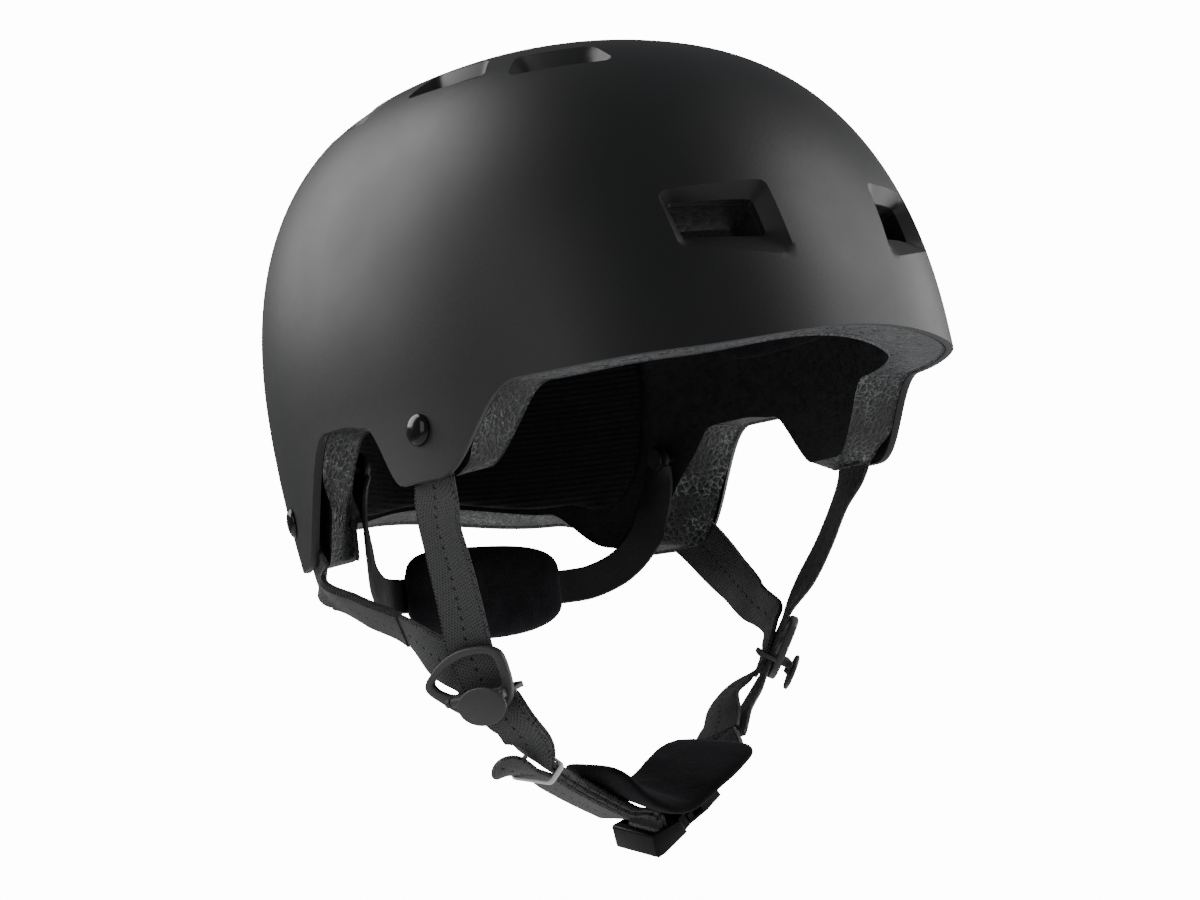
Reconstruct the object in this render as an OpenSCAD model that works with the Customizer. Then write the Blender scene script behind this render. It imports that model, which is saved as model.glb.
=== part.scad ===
// Skate helmet: hard shell, bead-foam liner, comfort pads, riveted webbing,
// lockable strap dividers, side-release chin buckle and a tilting nape cradle.
// Millimetres. The front is -Y, up is +Z and the wearer's left is +X.
// The origin lies in the middle of the head opening, at the height of the brow.

/* [Shell] */
// Half of the shell's greatest width
half_w = 106; // [96:1:114]
// Reach of the shell ahead of the origin at its widest height
front_reach = 136; // [126:1:146]
// Reach of the shell behind the origin at its widest height
rear_reach = 140.4; // [130:1:150]
// Height of the dome over its widest height
dome_h = 127.4; // [118:1:136]
// Height of the widest part of the shell over the origin
waist_z = 9; // [4:1:12]
// Thickness of the hard shell
shell_wall = 2.8; // [2:0.1:3.6]
// How far the crown sits back for each millimetre of height
lean = 0.118; // [0.09:0.01:0.14]

/* [Rim] */
// Height of the rim over the middle of the brow
brow_z = 11.2; // [8:0.5:14]
// Height of the rim at the temples
temple_z = 6.4; // [4:0.5:9]
// Height of the bottom of the strap flaps ahead of the ears
flap_z = -22.6; // [-26:0.5:-18]
// Height of the top of the ear arches
ear_z = 2.6; // [0:0.5:5]
// Height of the bottom of the nape corners
nape_z = -41.8; // [-46:0.5:-38]
// Height of the rim in the middle of the back
back_z = -19.5; // [-24:0.5:-15]

/* [Vents] */
// Width of each front vent, along the shell
front_vent_w = 29; // [22:1:34]
// Height of the bottom of the front vents
front_vent_z = 43.5; // [40:0.5:46]
// Height of each front vent
front_vent_h = 15.5; // [12:0.5:18]
// Width of each top vent, along the shell
top_vent_w = 34; // [26:1:38]
// Height of the lower edge of the top vents
top_vent_z = 118.5; // [114:0.5:120]
// Height between the lower and the upper edge of the top vents
top_vent_h = 8.4; // [6:0.2:9]
// Width of each rear vent, along the shell
rear_vent_w = 30; // [22:1:34]
// Height of the bottom of the rear vents
rear_vent_z = 20; // [19:0.5:23]
// Height of each rear vent
rear_vent_h = 15; // [10:0.5:16]

/* [Liner and pads] */
// Thickness of the foam liner at the front, the sides and the crown
liner_t = 19.5; // [17:0.5:21]
// Thickness of the foam liner at the corners of the nape
nape_liner_t = 15.5; // [14:0.5:17]
// Gap between pieces that lie against each other without being fixed
seat_gap = 0.3; // [0.25:0.05:0.4]
// Thickness of the comfort pads at their crown
pad_t = 6; // [4:0.5:8]
// Thickness of the hook dots that hold the pads
dot_t = 1; // [0.8:0.1:1.2]
// Diameter of the hook dots
dot_d = 15; // [12:1:17]

/* [Webbing] */
// Width of the webbing
web_w = 19; // [16:0.5:20]
// Thickness of the webbing
web_t = 1.6; // [1.2:0.1:1.8]
// Radius of a rivet's head
rivet_r = 5.6; // [5:0.1:6.5]
// Height of a rivet's head over the shell
rivet_h = 2.4; // [1.8:0.1:3]
// Radius of a rivet's shank
shank_r = 2; // [1.6:0.1:2.4]
// Thickness of the plate behind each strap's end
anchor_t = 1.4; // [1:0.1:1.6]

/* [Strap dividers] */
// Thickness of a divider's frame
frame_t = 3; // [2.4:0.1:3.4]
// Radius of the round thumb plate of a divider's lock
lock_r = 9; // [8:0.5:10]
// Radius of the pin that the lock turns on
lock_pin_r = 1.1; // [0.9:0.1:1.2]
// Radial clearance of a pin that turns in its bore
run_gap = 0.05; // [0.03:0.01:0.09]

/* [Chin buckle] */
// Width of the buckle
buckle_w = 24; // [24:0.5:26]
// Thickness of the clip's outer block at its end face
clip_t = 9; // [8.5:0.5:10]
// Length of the clip's outer block
clip_l = 13.5; // [13.5:0.5:15]
// Thickness of the socket
socket_t = 5.6; // [5.4:0.1:6.4]
// Length of the socket, from its mouth to the end of its bar
socket_l = 19; // [19:0.5:22]
// Gap all round the parts of the clip inside the socket
buckle_gap = 0.35; // [0.3:0.05:0.45]

/* [Nape cradle] */
// Width of the nape pad
nape_w = 76; // [66:1:80]
// Height of the nape pad
nape_h = 36; // [30:1:38]
// Thickness of the nape pad at its crown
nape_t = 8; // [6:0.5:9]
// Height of a cradle arm, across it
arm_w = 13; // [10:0.5:14]
// Thickness of a cradle arm
arm_t = 1.8; // [1.4:0.1:2.2]
// Radius of the pin that a cradle arm turns on
cradle_pin_r = 2.1; // [1.8:0.1:2.4]

/* [Hidden] */

black = [0.05, 0.05, 0.055];
charcoal = [0.16, 0.16, 0.17];
bead_grey = [0.28, 0.28, 0.29];
fleece = [0.09, 0.085, 0.1];
ring_white = [0.9, 0.9, 0.88];

// Exponents of the shell's outline seen from above and of its rise to the crown
plan_exp = 2.2035;
crown_exp = 2.31;
side_exp = 2.838;
// How fast the skin draws in below the waist, at the front, the back and the sides
front_flare = -0.037;
rear_flare = 0.404;
side_flare = -0.22;

// Angles round the shell, from the front, at which the rim turns
brow_end = 30;
temple_end = 56;
flap_start = 76;
flap_end = 86;
ear_start = 95;
ear_top = 102;
ear_end = 109;
nape_start = 127;
nape_end = 135;
back_start = 152;
back_side_z = back_z - 6;
temple_low_z = temple_z - 0.4;
ear_front_z = ear_z - 2;
rim_keys = [[0, brow_z], [brow_end, temple_z + 0.8], [temple_end, temple_low_z],
    [flap_start, flap_z], [flap_end, flap_z], [ear_start, ear_front_z], [ear_top, ear_z],
    [ear_end, ear_z], [nape_start, nape_z], [nape_end, nape_z], [back_start, back_side_z],
    [180, back_z]];

function ease(a) = (1 - cos(180 * max(0, min(1, a)))) / 2;
function eased(t, keys, i = 0) =
    (t <= keys[i + 1][0] || i == len(keys) - 2)
    ? keys[i][1] + (keys[i + 1][1] - keys[i][1])
        * ease((t - keys[i][0]) / (keys[i + 1][0] - keys[i][0]))
    : eased(t, keys, i + 1);
function rim_z(t) = eased(abs(t), rim_keys);

// Distance from the axis to the skin, for a skin lying inset inside the outer one
function plan_r(t, inset) =
    let(side = abs(sin(t)) / (half_w - inset),
        ahead = abs(cos(t)) / ((cos(t) > 0 ? front_reach : rear_reach) - inset))
    pow(pow(side, plan_exp) + pow(ahead, plan_exp), -1 / plan_exp);
function swell(t, u) = u >= 0
    ? pow(max(0, 1 - pow(min(1, u), crown_exp)), 1 / side_exp)
    : 1 - (side_flare * pow(sin(t), 2)
        + (cos(t) > 0 ? front_flare : rear_flare) * pow(cos(t), 2)) * u * u;
function rise(z, inset) = (z - waist_z) / (dome_h - inset);
function skin(t, z, inset) =
    let(u = rise(z, inset), r = plan_r(t, inset) * swell(t, u))
    [r * sin(t), -r * cos(t) + lean * (z - waist_z), z];
function unit(v) = v / norm(v);
function outward(t, z, inset) =
    unit(cross(skin(t + 0.5, z, inset) - skin(t - 0.5, z, inset),
        skin(t, z + 0.5, inset) - skin(t, z - 0.5, inset)));
function along_skin(t, z, inset) =
    unit(skin(t + 0.5, z, inset) - skin(t - 0.5, z, inset));

// Vents: middle angle, width, lower height and upper height
front_vent_at = 20.5;
top_front_at = 38;
top_side_at = 77;
top_rear_at = 121;
rear_vent_at = 150;
function vent(at, w, z, h) =
    let(half = w / 2 / norm([skin(at, z, 0)[0], skin(at, z, 0)[1]]) * 180 / PI)
    [at - half, at + half, rise(z, 0), rise(z + h, 0)];
vents = [vent(front_vent_at, front_vent_w, front_vent_z, front_vent_h),
    vent(top_front_at, top_vent_w * 0.82, top_vent_z, top_vent_h),
    vent(top_side_at, top_vent_w * 0.82, top_vent_z, top_vent_h),
    vent(top_rear_at, top_vent_w * 0.82, top_vent_z, top_vent_h),
    vent(rear_vent_at, rear_vent_w, rear_vent_z, rear_vent_h)];
function in_vent(t, u) = len([for (v = vents)
    if (abs(t) > v[0] && abs(t) < v[1] && u > v[2] && u < v[3]) 1]) > 0;

// Angles and heights of the grid: every turn of the rim and every vent edge is on it
function sorted(a) = len(a) <= 1 ? a :
    let(m = a[floor(len(a) / 2)])
    concat(sorted([for (v = a) if (v < m) v]), [m], sorted([for (v = a) if (v > m) v]));
function steps(keys, step) = [for (i = [0:len(keys) - 2])
    let(n = max(1, ceil((keys[i + 1] - keys[i]) / step)))
    for (k = [0:n - 1]) keys[i] + k * (keys[i + 1] - keys[i]) / n];
turn_step = 5.2;
half_turns = steps(sorted(concat([for (k = rim_keys) k[0]],
    [for (v = vents) for (e = [0, 1]) v[e]])), turn_step);
turns = concat([for (i = [len(half_turns) - 1:-1:1]) -half_turns[i]], half_turns, [180]);
nt = len(turns);
rise_step = 0.13;
low_rows = 3;
low_u = rise(rear_vent_z, 0);
crown_us = [0.966, 0.992];
rises = concat(steps(sorted([for (v = vents) for (e = [2, 3]) v[e]]), rise_step),
    [rise(top_vent_z + top_vent_h, 0)], crown_us);
nr = low_rows + len(rises);

function row_z(t, j, inset) =
    let(h = dome_h - inset, low = waist_z + low_u * h)
    j < low_rows ? rim_z(t) + (low - rim_z(t)) * j / low_rows
    : waist_z + rises[j - low_rows] * h;
function kept(i, j) = j >= 0 && j < nr - 1
    && (j < low_rows || !in_vent((turns[i] + turns[(i + 1) % nt] + (i == nt - 1 ? 360 : 0)) / 2,
        (rises[j - low_rows] + rises[j - low_rows + 1]) / 2));

// Strap ends lie in shallow pockets between the shell and the liner
front_rivet_at = 79.4;
front_rivet_z = -4.9;
rear_rivet_at = 132.7;
rear_rivet_z = -23.6;
rear_pocket_at = 130;
liner_in = shell_wall + seat_gap;
strap_in = shell_wall + 0.6 + web_t / 2;
anchor_in = shell_wall + 0.9 + web_t;
pocket_depth = anchor_in + anchor_t + seat_gap - liner_in;

// The liner thins toward the nape's corners, and its cut edges run across the helmet,
// so its inner edge lies ahead of the rim at the flaps, behind it at the nape, and higher
liner_keys = [[0, liner_t], [ear_top, liner_t], [nape_start - 5, nape_liner_t],
    [nape_end, nape_liner_t], [165, liner_t], [180, liner_t]];
edge_turn_keys = [[0, 0], [50, -3.5], [92, -3.5], [112, 5], [123, 10], [nape_end, 8],
    [165, 0], [180, 0]];
edge_lift = 3;
thin_below = 70;
function liner_inset(t, z) = liner_in + liner_t
    - (liner_t - eased(abs(t), liner_keys)) * ease((thin_below - z) / 50);
function liner_point(t, j) =
    let(low = j < low_rows ? 1 - j / low_rows : 0,
        s = t + sign(t) * low * eased(abs(t), edge_turn_keys),
        z = row_z(t, j, liner_in + liner_t) + low * edge_lift * ease(-rim_z(t) / 22))
    skin(s, z, liner_inset(s, z));
function fade(d, full, gone) = ease((gone - abs(d)) / (gone - full));
function pocket(t, z) = pocket_depth * max(
    fade(abs(t) - front_rivet_at, 8, 12) * fade(max(0, z - front_rivet_z - 11), 0, 11),
    fade(abs(t) - rear_pocket_at, 10.5, 14.5) * fade(max(0, z - rear_rivet_z - 15), 0, 12));

// A closed body between two skins, open at the vents
module between(in_a, in_b, outer, inner) {
    n = nt * nr;
    top_a = [0, lean * (dome_h - in_a), waist_z + dome_h - in_a];
    top_b = [0, lean * (dome_h - in_b), waist_z + dome_h - in_b];
    walls = [for (i = [0:nt - 1]) for (j = [0:nr - 2]) if (kept(i, j))
        let(k = (i + 1) % nt, h = (i + nt - 1) % nt,
            a = i * nr + j, b = a + 1, c = k * nr + j + 1, d = k * nr + j,
            open = concat(kept(h, j) ? [] : [[a, b]],
                kept(i, j + 1) || j == nr - 2 ? [] : [[b, c]],
                kept(k, j) ? [] : [[c, d]], kept(i, j - 1) ? [] : [[d, a]]))
        for (f = concat([[a, b, c], [a, c, d], [n + c, n + b, n + a], [n + d, n + c, n + a]],
            [for (e = open) for (g = [[e[1], e[0], n + e[0]], [e[1], n + e[0], n + e[1]]]) g])) f];
    cap = [for (i = [0:nt - 1]) let(k = (i + 1) % nt, a = i * nr + nr - 1, b = k * nr + nr - 1)
        for (f = [[a, 2 * n, b], [n + b, 2 * n + 1, n + a]]) f];
    polyhedron(concat(outer, inner, [top_a, top_b]), concat(walls, cap), convexity = 8);
}

// Puts its children on the skin at an angle and a height, with +Z pointing out of the shell
module on_skin(t, z, inset = 0) {
    p = skin(t, z, inset);
    o = outward(t, z, inset);
    translate(p) rotate([0, acos(o[2]), atan2(o[1], o[0])]) children();
}
module both_sides() {
    children();
    mirror([1, 0, 0]) children();
}
module rivet_holes(r) {
    both_sides() {
        on_skin(front_rivet_at, front_rivet_z) cylinder(h = 24, r = r, center = true, $fn = 48);
        on_skin(rear_rivet_at, rear_rivet_z) cylinder(h = 24, r = r, center = true, $fn = 48);
    }
}

module outer_shell() {
    outer = [for (t = turns) for (j = [0:nr - 1]) skin(t, row_z(t, j, 0), 0)];
    inner = [for (t = turns) for (j = [0:nr - 1])
        skin(t, row_z(t, j, shell_wall), shell_wall)];
    color(black) difference() {
        between(0, shell_wall, outer, inner);
        rivet_holes(shank_r + 0.1);
    }
}

module foam_liner() {
    outer = [for (t = turns) for (j = [0:nr - 1])
        let(z = row_z(t, j, liner_in)) skin(t, z, liner_in + pocket(t, z))];
    inner = [for (t = turns) for (j = [0:nr - 1]) liner_point(t, j)];
    color(bead_grey) difference() {
        between(liner_in, liner_in + liner_t, outer, inner);
        both_sides() at_cradle_pin()
            cylinder(h = pin_p[0] + pin_depth + 1, r = cradle_pin_r + 0.02, $fn = 64);
    }
}

// A rivet: a low domed head outside, a shank through shell and strap, a flat peened foot
module rivet() {
    head_w = rivet_r;
    below = anchor_in + anchor_t;
    rotate_extrude($fn = 64)
        polygon(concat([[0, -below], [shank_r, -below], [shank_r, 0.15], [head_w, 0.15]],
            [for (a = [0:15:75]) [head_w * cos(a), 0.5 + (rivet_h - 0.5) * sin(a)]],
            [[0, rivet_h]]));
}
module front_rivets() {
    color(black) both_sides() on_skin(front_rivet_at, front_rivet_z) rivet();
}
module rear_rivets() {
    color(black) both_sides() on_skin(rear_rivet_at, rear_rivet_z) rivet();
}

// The plate behind a strap's end, with the rivet's hole
module anchor() {
    translate([0, 0, -anchor_in - anchor_t]) difference() {
        cylinder(h = anchor_t, r = rivet_r, $fn = 48);
        translate([0, 0, -1]) cylinder(h = anchor_t + 2, r = shank_r + 0.05, $fn = 48);
    }
}
module front_anchors() {
    color(charcoal) both_sides() on_skin(front_rivet_at, front_rivet_z) anchor();
}
module rear_anchors() {
    color(charcoal) both_sides() on_skin(rear_rivet_at, rear_rivet_z) anchor();
}

// A sewn pad lying on the inside of the liner: full in the middle, thin at its edge, with
// its corners drawn in. low and high are the angles of its ends at its lower and upper edge
dot_seat = seat_gap + 0.1;
pad_seat = dot_seat + dot_t + seat_gap;
function crown(a) = pow(max(0, 1 - pow(2 * a - 1, 4)), 0.5);
function draw_in(a, b) = 0.5 + (a - 0.5) * (1 - corner_in * pow(2 * b - 1, 4));
function level(z, t) = is_function(z) ? z(t) : z;
corner_in = 0.12;
module skin_pad(low, high, z0, z1, seat, thick, na = 8, nb = 5, edge = 0.35) {
    pts = [for (side = [0, 1]) for (i = [0:na]) for (j = [0:nb])
        let(full = edge + (1 - edge) * crown(i / na) * crown(j / nb),
            a = draw_in(i / na, j / nb), b = draw_in(j / nb, i / na),
            t0 = low[0] + (high[0] - low[0]) * b, t1 = low[1] + (high[1] - low[1]) * b,
            t = t0 + (t1 - t0) * a, z = level(z0, t) + (level(z1, t) - level(z0, t)) * b)
        skin(t, z, liner_inset(t > 180 ? t - 360 : t, z) + seat + side * thick * full)];
    m = (na + 1) * (nb + 1);
    cell = [for (a = [0:na - 1]) for (b = [0:nb - 1]) [a * (nb + 1) + b, nb + 1]];
    faces = [for (c = cell) let(p = c[0], q = p + 1, r = p + c[1] + 1, s = p + c[1])
        for (f = [[p, q, r], [p, r, s], [m + r, m + q, m + p], [m + s, m + r, m + p]]) f];
    ends = [for (b = [0:nb - 1]) let(p = b, q = na * (nb + 1) + b)
        for (f = [[p + 1, p, m + p], [p + 1, m + p, m + p + 1],
            [q, q + 1, m + q + 1], [q, m + q + 1, m + q]]) f];
    sides = [for (a = [0:na - 1]) let(p = a * (nb + 1), s = p + nb + 1, q = p + nb, r = q + nb + 1)
        for (f = [[p, s, m + s], [p, m + s, m + p], [r, q, m + q], [r, m + q, m + r]]) f];
    polyhedron(pts, concat(faces, ends, sides), convexity = 4);
}

brow_pad_end = 40;
brow_pad_z = [20, 40];
side_pad_ends = [54, 106];
side_pad_z = [24, 62];
rear_pad_low = 137;
rear_pad_high = 127;
rear_pad_top = 46;
rear_pad_lift = 4.5;
function rear_pad_bottom(t) = max(-26, rim_z(min(t, 360 - t)) + rear_pad_lift);

module brow_pad() {
    color(fleece) skin_pad([-brow_pad_end, brow_pad_end], [-brow_pad_end, brow_pad_end],
        brow_pad_z[0], brow_pad_z[1], pad_seat, pad_t, 16, 6);
}
module side_pad() {
    skin_pad(side_pad_ends, side_pad_ends, side_pad_z[0], side_pad_z[1], pad_seat, pad_t, 12, 8);
}
module side_pad_left() {
    color(fleece) side_pad();
}
module side_pad_right() {
    color(fleece) mirror([1, 0, 0]) side_pad();
}
module rear_pad() {
    color(fleece) skin_pad([rear_pad_low, 360 - rear_pad_low],
        [rear_pad_high, 360 - rear_pad_high], function(t) rear_pad_bottom(t), rear_pad_top,
        pad_seat, pad_t, 20, 8);
}

// The crown pad: a cap under the top of the liner
crown_pad_us = [0.955, 0.972, 0.985, 0.994];
crown_seat = liner_in + liner_t + pad_seat;
module crown_pad() {
    n = 28;
    h = dome_h - crown_seat;
    m = len(crown_pad_us);
    rim = n * m;
    pts = concat([for (side = [0, 1]) for (i = [0:n - 1]) for (j = [0:m - 1])
        let(t = 360 * i / n, z = waist_z + crown_pad_us[j] * h, p = skin(t, z, crown_seat),
            drop = side * pad_t * (j == 0 ? 0.4 : j == 1 ? 0.85 : 1))
        p - [0, 0, drop]],
        [[0, lean * h, waist_z + h], [0, lean * h, waist_z + h - pad_t]]);
    faces = [for (i = [0:n - 1]) let(k = (i + 1) % n) for (f = concat(
        [for (j = [0:m - 2]) let(a = i * m + j, c = k * m + j + 1)
            for (g = [[a, a + 1, c], [a, c, c - 1],
                [rim + c, rim + a + 1, rim + a], [rim + c - 1, rim + c, rim + a]]) g],
        [[i * m, k * m, rim + k * m], [i * m, rim + k * m, rim + i * m],
            [i * m + m - 1, 2 * rim, k * m + m - 1],
            [rim + k * m + m - 1, 2 * rim + 1, rim + i * m + m - 1]])) f];
    color(fleece) polyhedron(pts, faces, convexity = 4);
}

// Hook dots between the liner and the pads, each a small curved tile
module dot(t, z) {
    p = skin(t, z, crown_seat);
    half = dot_d / 2 / norm([p[0], p[1]]) * 180 / PI;
    skin_pad([t - half, t + half], [t - half, t + half], z - dot_d / 2, z + dot_d / 2,
        dot_seat, dot_t, 2, 2, 1);
}
module hook_dots() {
    brow_z_mid = (brow_pad_z[0] + brow_pad_z[1]) / 2;
    side_z_mid = (side_pad_z[0] + side_pad_z[1]) / 2;
    rear_z_mid = rear_pad_top / 2 - 4;
    color(charcoal) {
        both_sides() {
            for (t = [10, 30]) dot(t, brow_z_mid);
            for (t = [64, 96]) dot(t, side_z_mid);
            for (t = [142, 166]) dot(t, rear_z_mid);
        }
        translate([0, lean * (dome_h - crown_seat), waist_z + dome_h - crown_seat + seat_gap])
            cylinder(h = dot_t, r = dot_d / 2, $fn = 48);
    }
}

// A flat strap swept along stations of [place, direction across the strap]
function spline(a, b, c, d, s) = 0.5 * (2 * b + (c - a) * s + (2 * a - 5 * b + 4 * c - d) * s * s
    + (3 * b - a - 3 * c + d) * s * s * s);
function station(keys, i) = i < 0 ? 2 * keys[0] - keys[1]
    : i >= len(keys) ? 2 * keys[len(keys) - 1] - keys[len(keys) - 2] : keys[i];
function swept(keys, per) = concat([for (i = [0:len(keys) - 2]) for (k = [0:per - 1])
    spline(station(keys, i - 1), keys[i], keys[i + 1], station(keys, i + 2), k / per)],
    [keys[len(keys) - 1]]);
module ribbon(keys, w = web_w, t = web_t, per = 2, from = 0, to = 1000) {
    path = swept(keys, per);
    last = min(to, len(path) - 1);
    n = last - from + 1;
    rings = [for (i = [from:last])
        let(p = path[i][0],
            run = unit(path[min(len(path) - 1, i + 1)][0] - path[max(0, i - 1)][0]),
            wide = unit(path[i][1] - (path[i][1] * run) * run), up = cross(run, wide))
        for (c = [[-1, -1], [1, -1], [1, 1], [-1, 1]])
            p + wide * w / 2 * c[0] + up * t / 2 * c[1]];
    tube = [for (i = [0:n - 2]) for (k = [0:3]) let(a = 4 * i + k, b = 4 * i + (k + 1) % 4)
        for (f = [[a, a + 4, b + 4], [a, b + 4, b]]) f];
    ends = [[0, 1, 2], [0, 2, 3], [4 * n - 4, 4 * n - 2, 4 * n - 3],
        [4 * n - 4, 4 * n - 1, 4 * n - 2]];
    polyhedron(rings, concat(tube, ends), convexity = 6);
}
function flip(v) = [-v[0], v[1], v[2]];
function on_shell(t, z) = [skin(t, z, strap_in), along_skin(t, z, strap_in)];

// Where the dividers hang, how they are turned, and their own directions:
// x along the face toward the front, y up, z out from the face
divider_right = [-77, -1, -90];
divider_left = [77, 9, -84.5];
right_turn = [106.8, -2.3, -71.9];
left_turn = [119, 5.9, -49];
right_axes = [[0.31, -0.95, 0.04], [-0.286, -0.053, 0.957], [-0.907, -0.308, -0.288]];
left_axes = [[-0.653, -0.75, -0.103], [0.307, -0.386, 0.87], [0.692, -0.537, -0.483]];
function along(axes, x, y, z) = x * axes[0] + y * axes[1] + z * axes[2];
function at_right(x, y, z) = divider_right + along(right_axes, x, y, z);
function at_left(x, y, z) = divider_left + along(left_axes, x, y, z);
function right_wide(x, y) = along(right_axes, x, y, 0);
function left_wide(x, y) = along(left_axes, -x, -y, 0);

// Webbing layers at a divider: the front strap lies outside the rear strap
layer_z = -(web_t + seat_gap);

strap_end = 8;
front_strap_r = concat([for (z = [front_rivet_z + strap_end, front_rivet_z, -14, flap_z - 2])
    on_shell(-front_rivet_at, z) + [[z < -20 ? 0.6 : 0, 0, 0], [0, 0, 0]]],
    [[[8.5 - half_w, -16.6, -36], [0.16, -0.98, -0.11]],
    [[-92, -13, -50], [0.22, -0.97, -0.06]],
    [[-85.5, -8, -64.5], [0.26, -0.97, -0.02]],
    [at_right(2, 12, 0.2), right_wide(1, 0)],
    [at_right(2.5, 4, 0), right_wide(1, 0.05)],
    [at_right(4, -4, -0.15), right_wide(1, 0.15)],
    [at_right(6, -11, 0), right_wide(1, 0.2)]]);
module drilled(t, z) {
    difference() {
        children();
        on_skin(t, z) cylinder(h = 24, r = shank_r + 0.15, center = true, $fn = 48);
    }
}
module front_strap_right() {
    color(black) drilled(-front_rivet_at, front_rivet_z) ribbon(front_strap_r);
}

front_strap_l = concat([for (z = [front_rivet_z + strap_end, front_rivet_z, -14])
    on_shell(front_rivet_at, z)],
    [[[half_w - 5.2, -18.8, flap_z - 2.5], [0.21, 0.97, 0.04]],
    [[half_w - 8, -13, -36], [0.45, 0.88, 0.12]],
    [[half_w / 2 + 41, -6.5, -49.5], [0.47, 0.86, 0.2]],
    [[87, -1, -63], [0.46, 0.87, 0.2]],
    [at_left(2, 12, 0.2), left_wide(1, 0)],
    [at_left(2.5, 4, 0), left_wide(1, 0.05)],
    [at_left(4, -4, -0.15), left_wide(1, 0.15)],
    [at_left(6, -11, 0), left_wide(1, 0.2)]]);
module front_strap_left() {
    color(black) drilled(front_rivet_at, front_rivet_z) ribbon(front_strap_l);
}

rear_exit_at = 127.5;
rear_exit_z = nape_z - 1.5;
rear_strap_top = [[rear_rivet_at + 1.5, rear_rivet_z + strap_end], [rear_rivet_at, rear_rivet_z],
    [rear_rivet_at - 2.5, -34], [rear_exit_at, rear_exit_z]];
// The left strap leaves its rivet aslant, because it is drawn forward to the divider
function slanted(t, z, a) = let(k = on_shell(t, z), up = cross(outward(t, z, strap_in), k[1]))
    [k[0] - (z < -30 ? 0.5 : 0) * outward(t, z, strap_in), k[1] * cos(a) - up * sin(a)];
rear_slant = 32;
rear_slant_top = [[rear_rivet_at + 3, rear_rivet_z + 6], [rear_rivet_at, rear_rivet_z],
    [rear_rivet_at - 3.5, rear_rivet_z - 8], [rear_rivet_at - 7, rear_rivet_z - 16]];
rear_strap_r = concat([for (k = rear_strap_top) on_shell(-k[0], k[1])],
    [[[13.5 - half_w, 57, -51.5], [-0.4, -0.91, -0.1]],
    [[-89, 43, -60], [-0.5, -0.84, 0.2]],
    [[-84, 26.6, -69], [-0.55, -0.75, 0.36]],
    [at_right(-14.2, 9.4, -3.7), along(right_axes, 0.7, 0.68, 0.25)],
    [at_right(-3.9, 3.15, layer_z - 0.8), right_wide(0.85, 0.5)],
    [at_right(1.9, -3.6, layer_z - 0.2), right_wide(1, 0.2)],
    [at_right(5.5, -11, layer_z), right_wide(1, 0.2)]]);
module rear_strap_right() {
    color(black) drilled(-rear_rivet_at, rear_rivet_z) ribbon(rear_strap_r);
}
rear_strap_l = concat([for (k = rear_slant_top) slanted(k[0], k[1], rear_slant)],
    [[[half_w - 16.5, 49, -48.5], [-0.2, 0.9, -0.4]],
    [[86, 36.5, -57.5], [0.05, 0.94, -0.34]],
    [[82.5, 24, -67], [0.1, 0.97, -0.25]],
    [at_left(-10, 8, -4), along(left_axes, -0.75, -0.62, -0.1)],
    [at_left(-3.5, 2.5, layer_z - 0.8), left_wide(0.85, 0.5)],
    [at_left(2, -4, layer_z - 0.2), left_wide(1, 0.2)],
    [at_left(5.5, -11, layer_z), left_wide(1, 0.2)]]);
module rear_strap_left() {
    color(black) drilled(rear_rivet_at, rear_rivet_z) ribbon(rear_strap_l);
}

// A bare woven sleeve round the rear strap
label_t = 0.5;
module strap_label() {
    grow = label_t + seat_gap;
    color(black) difference() {
        ribbon(rear_strap_r, web_w + 2 * grow, web_t + 2 * grow, 2, 8, 12);
        ribbon(rear_strap_r, web_w + 2 * seat_gap, web_t + 2 * seat_gap, 2, 7, 13);
    }
}

// The divider: a shield-shaped ring before the webbing and a bar behind it
ring_z = web_t / 2 + 0.8;
ring_outline = [[-18.4, 2.4], [-14, 6], [-9.4, 9], [-3.2, 11.6], [3, 12.3], [9.1, 12], [14, 10.6],
    [16.4, 8], [16.8, 2], [16.4, -4], [14.4, -9], [10, -12.2], [4, -13.4], [-3, -12.6],
    [-8.5, -10], [-14, -5], [-18.4, -1]];
ring_window = [[-15.2, 1.8], [-11, 5], [-6.8, 7.2], [-1, 9], [4, 9.6], [10, 9.2], [12.6, 7.6],
    [13.2, 2], [12.8, -3.5], [-9, -3.5], [-13.6, -0.8]];
back_bar_y = -5.5;
back_bar_z = layer_z - web_t / 2 - 0.6;
back_bar_w = 3;
post_x = [-11.4, 14.5];
post_t = 1.1;
lock_y = -5.2;
lock_z = ring_z + frame_t + lock_pin_r + 1.3;
ear_x = [-8.7, 13.4];
module divider_frame() {
    translate([0, 0, ring_z]) difference() {
        linear_extrude(frame_t) polygon(ring_outline);
        translate([0, 0, -1]) linear_extrude(frame_t + 2) polygon(ring_window);
    }
    translate([post_x[0], back_bar_y - back_bar_w / 2, back_bar_z - 2])
        cube([post_x[1] + post_t - post_x[0], back_bar_w, 2]);
    for (x = post_x) translate([x, back_bar_y - back_bar_w / 2, back_bar_z - 1])
        cube([post_t, back_bar_w, ring_z - back_bar_z + 1.5]);
    for (x = ear_x) difference() {
        translate([x - 1.2, lock_y - 2.4, ring_z + frame_t - 0.5])
            cube([2.4, 4.8, lock_z - ring_z - frame_t + 2.4]);
        translate([x, lock_y, lock_z]) rotate([0, 90, 0])
            cylinder(h = 4, r = lock_pin_r, center = true, $fn = 48);
    }
}
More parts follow.
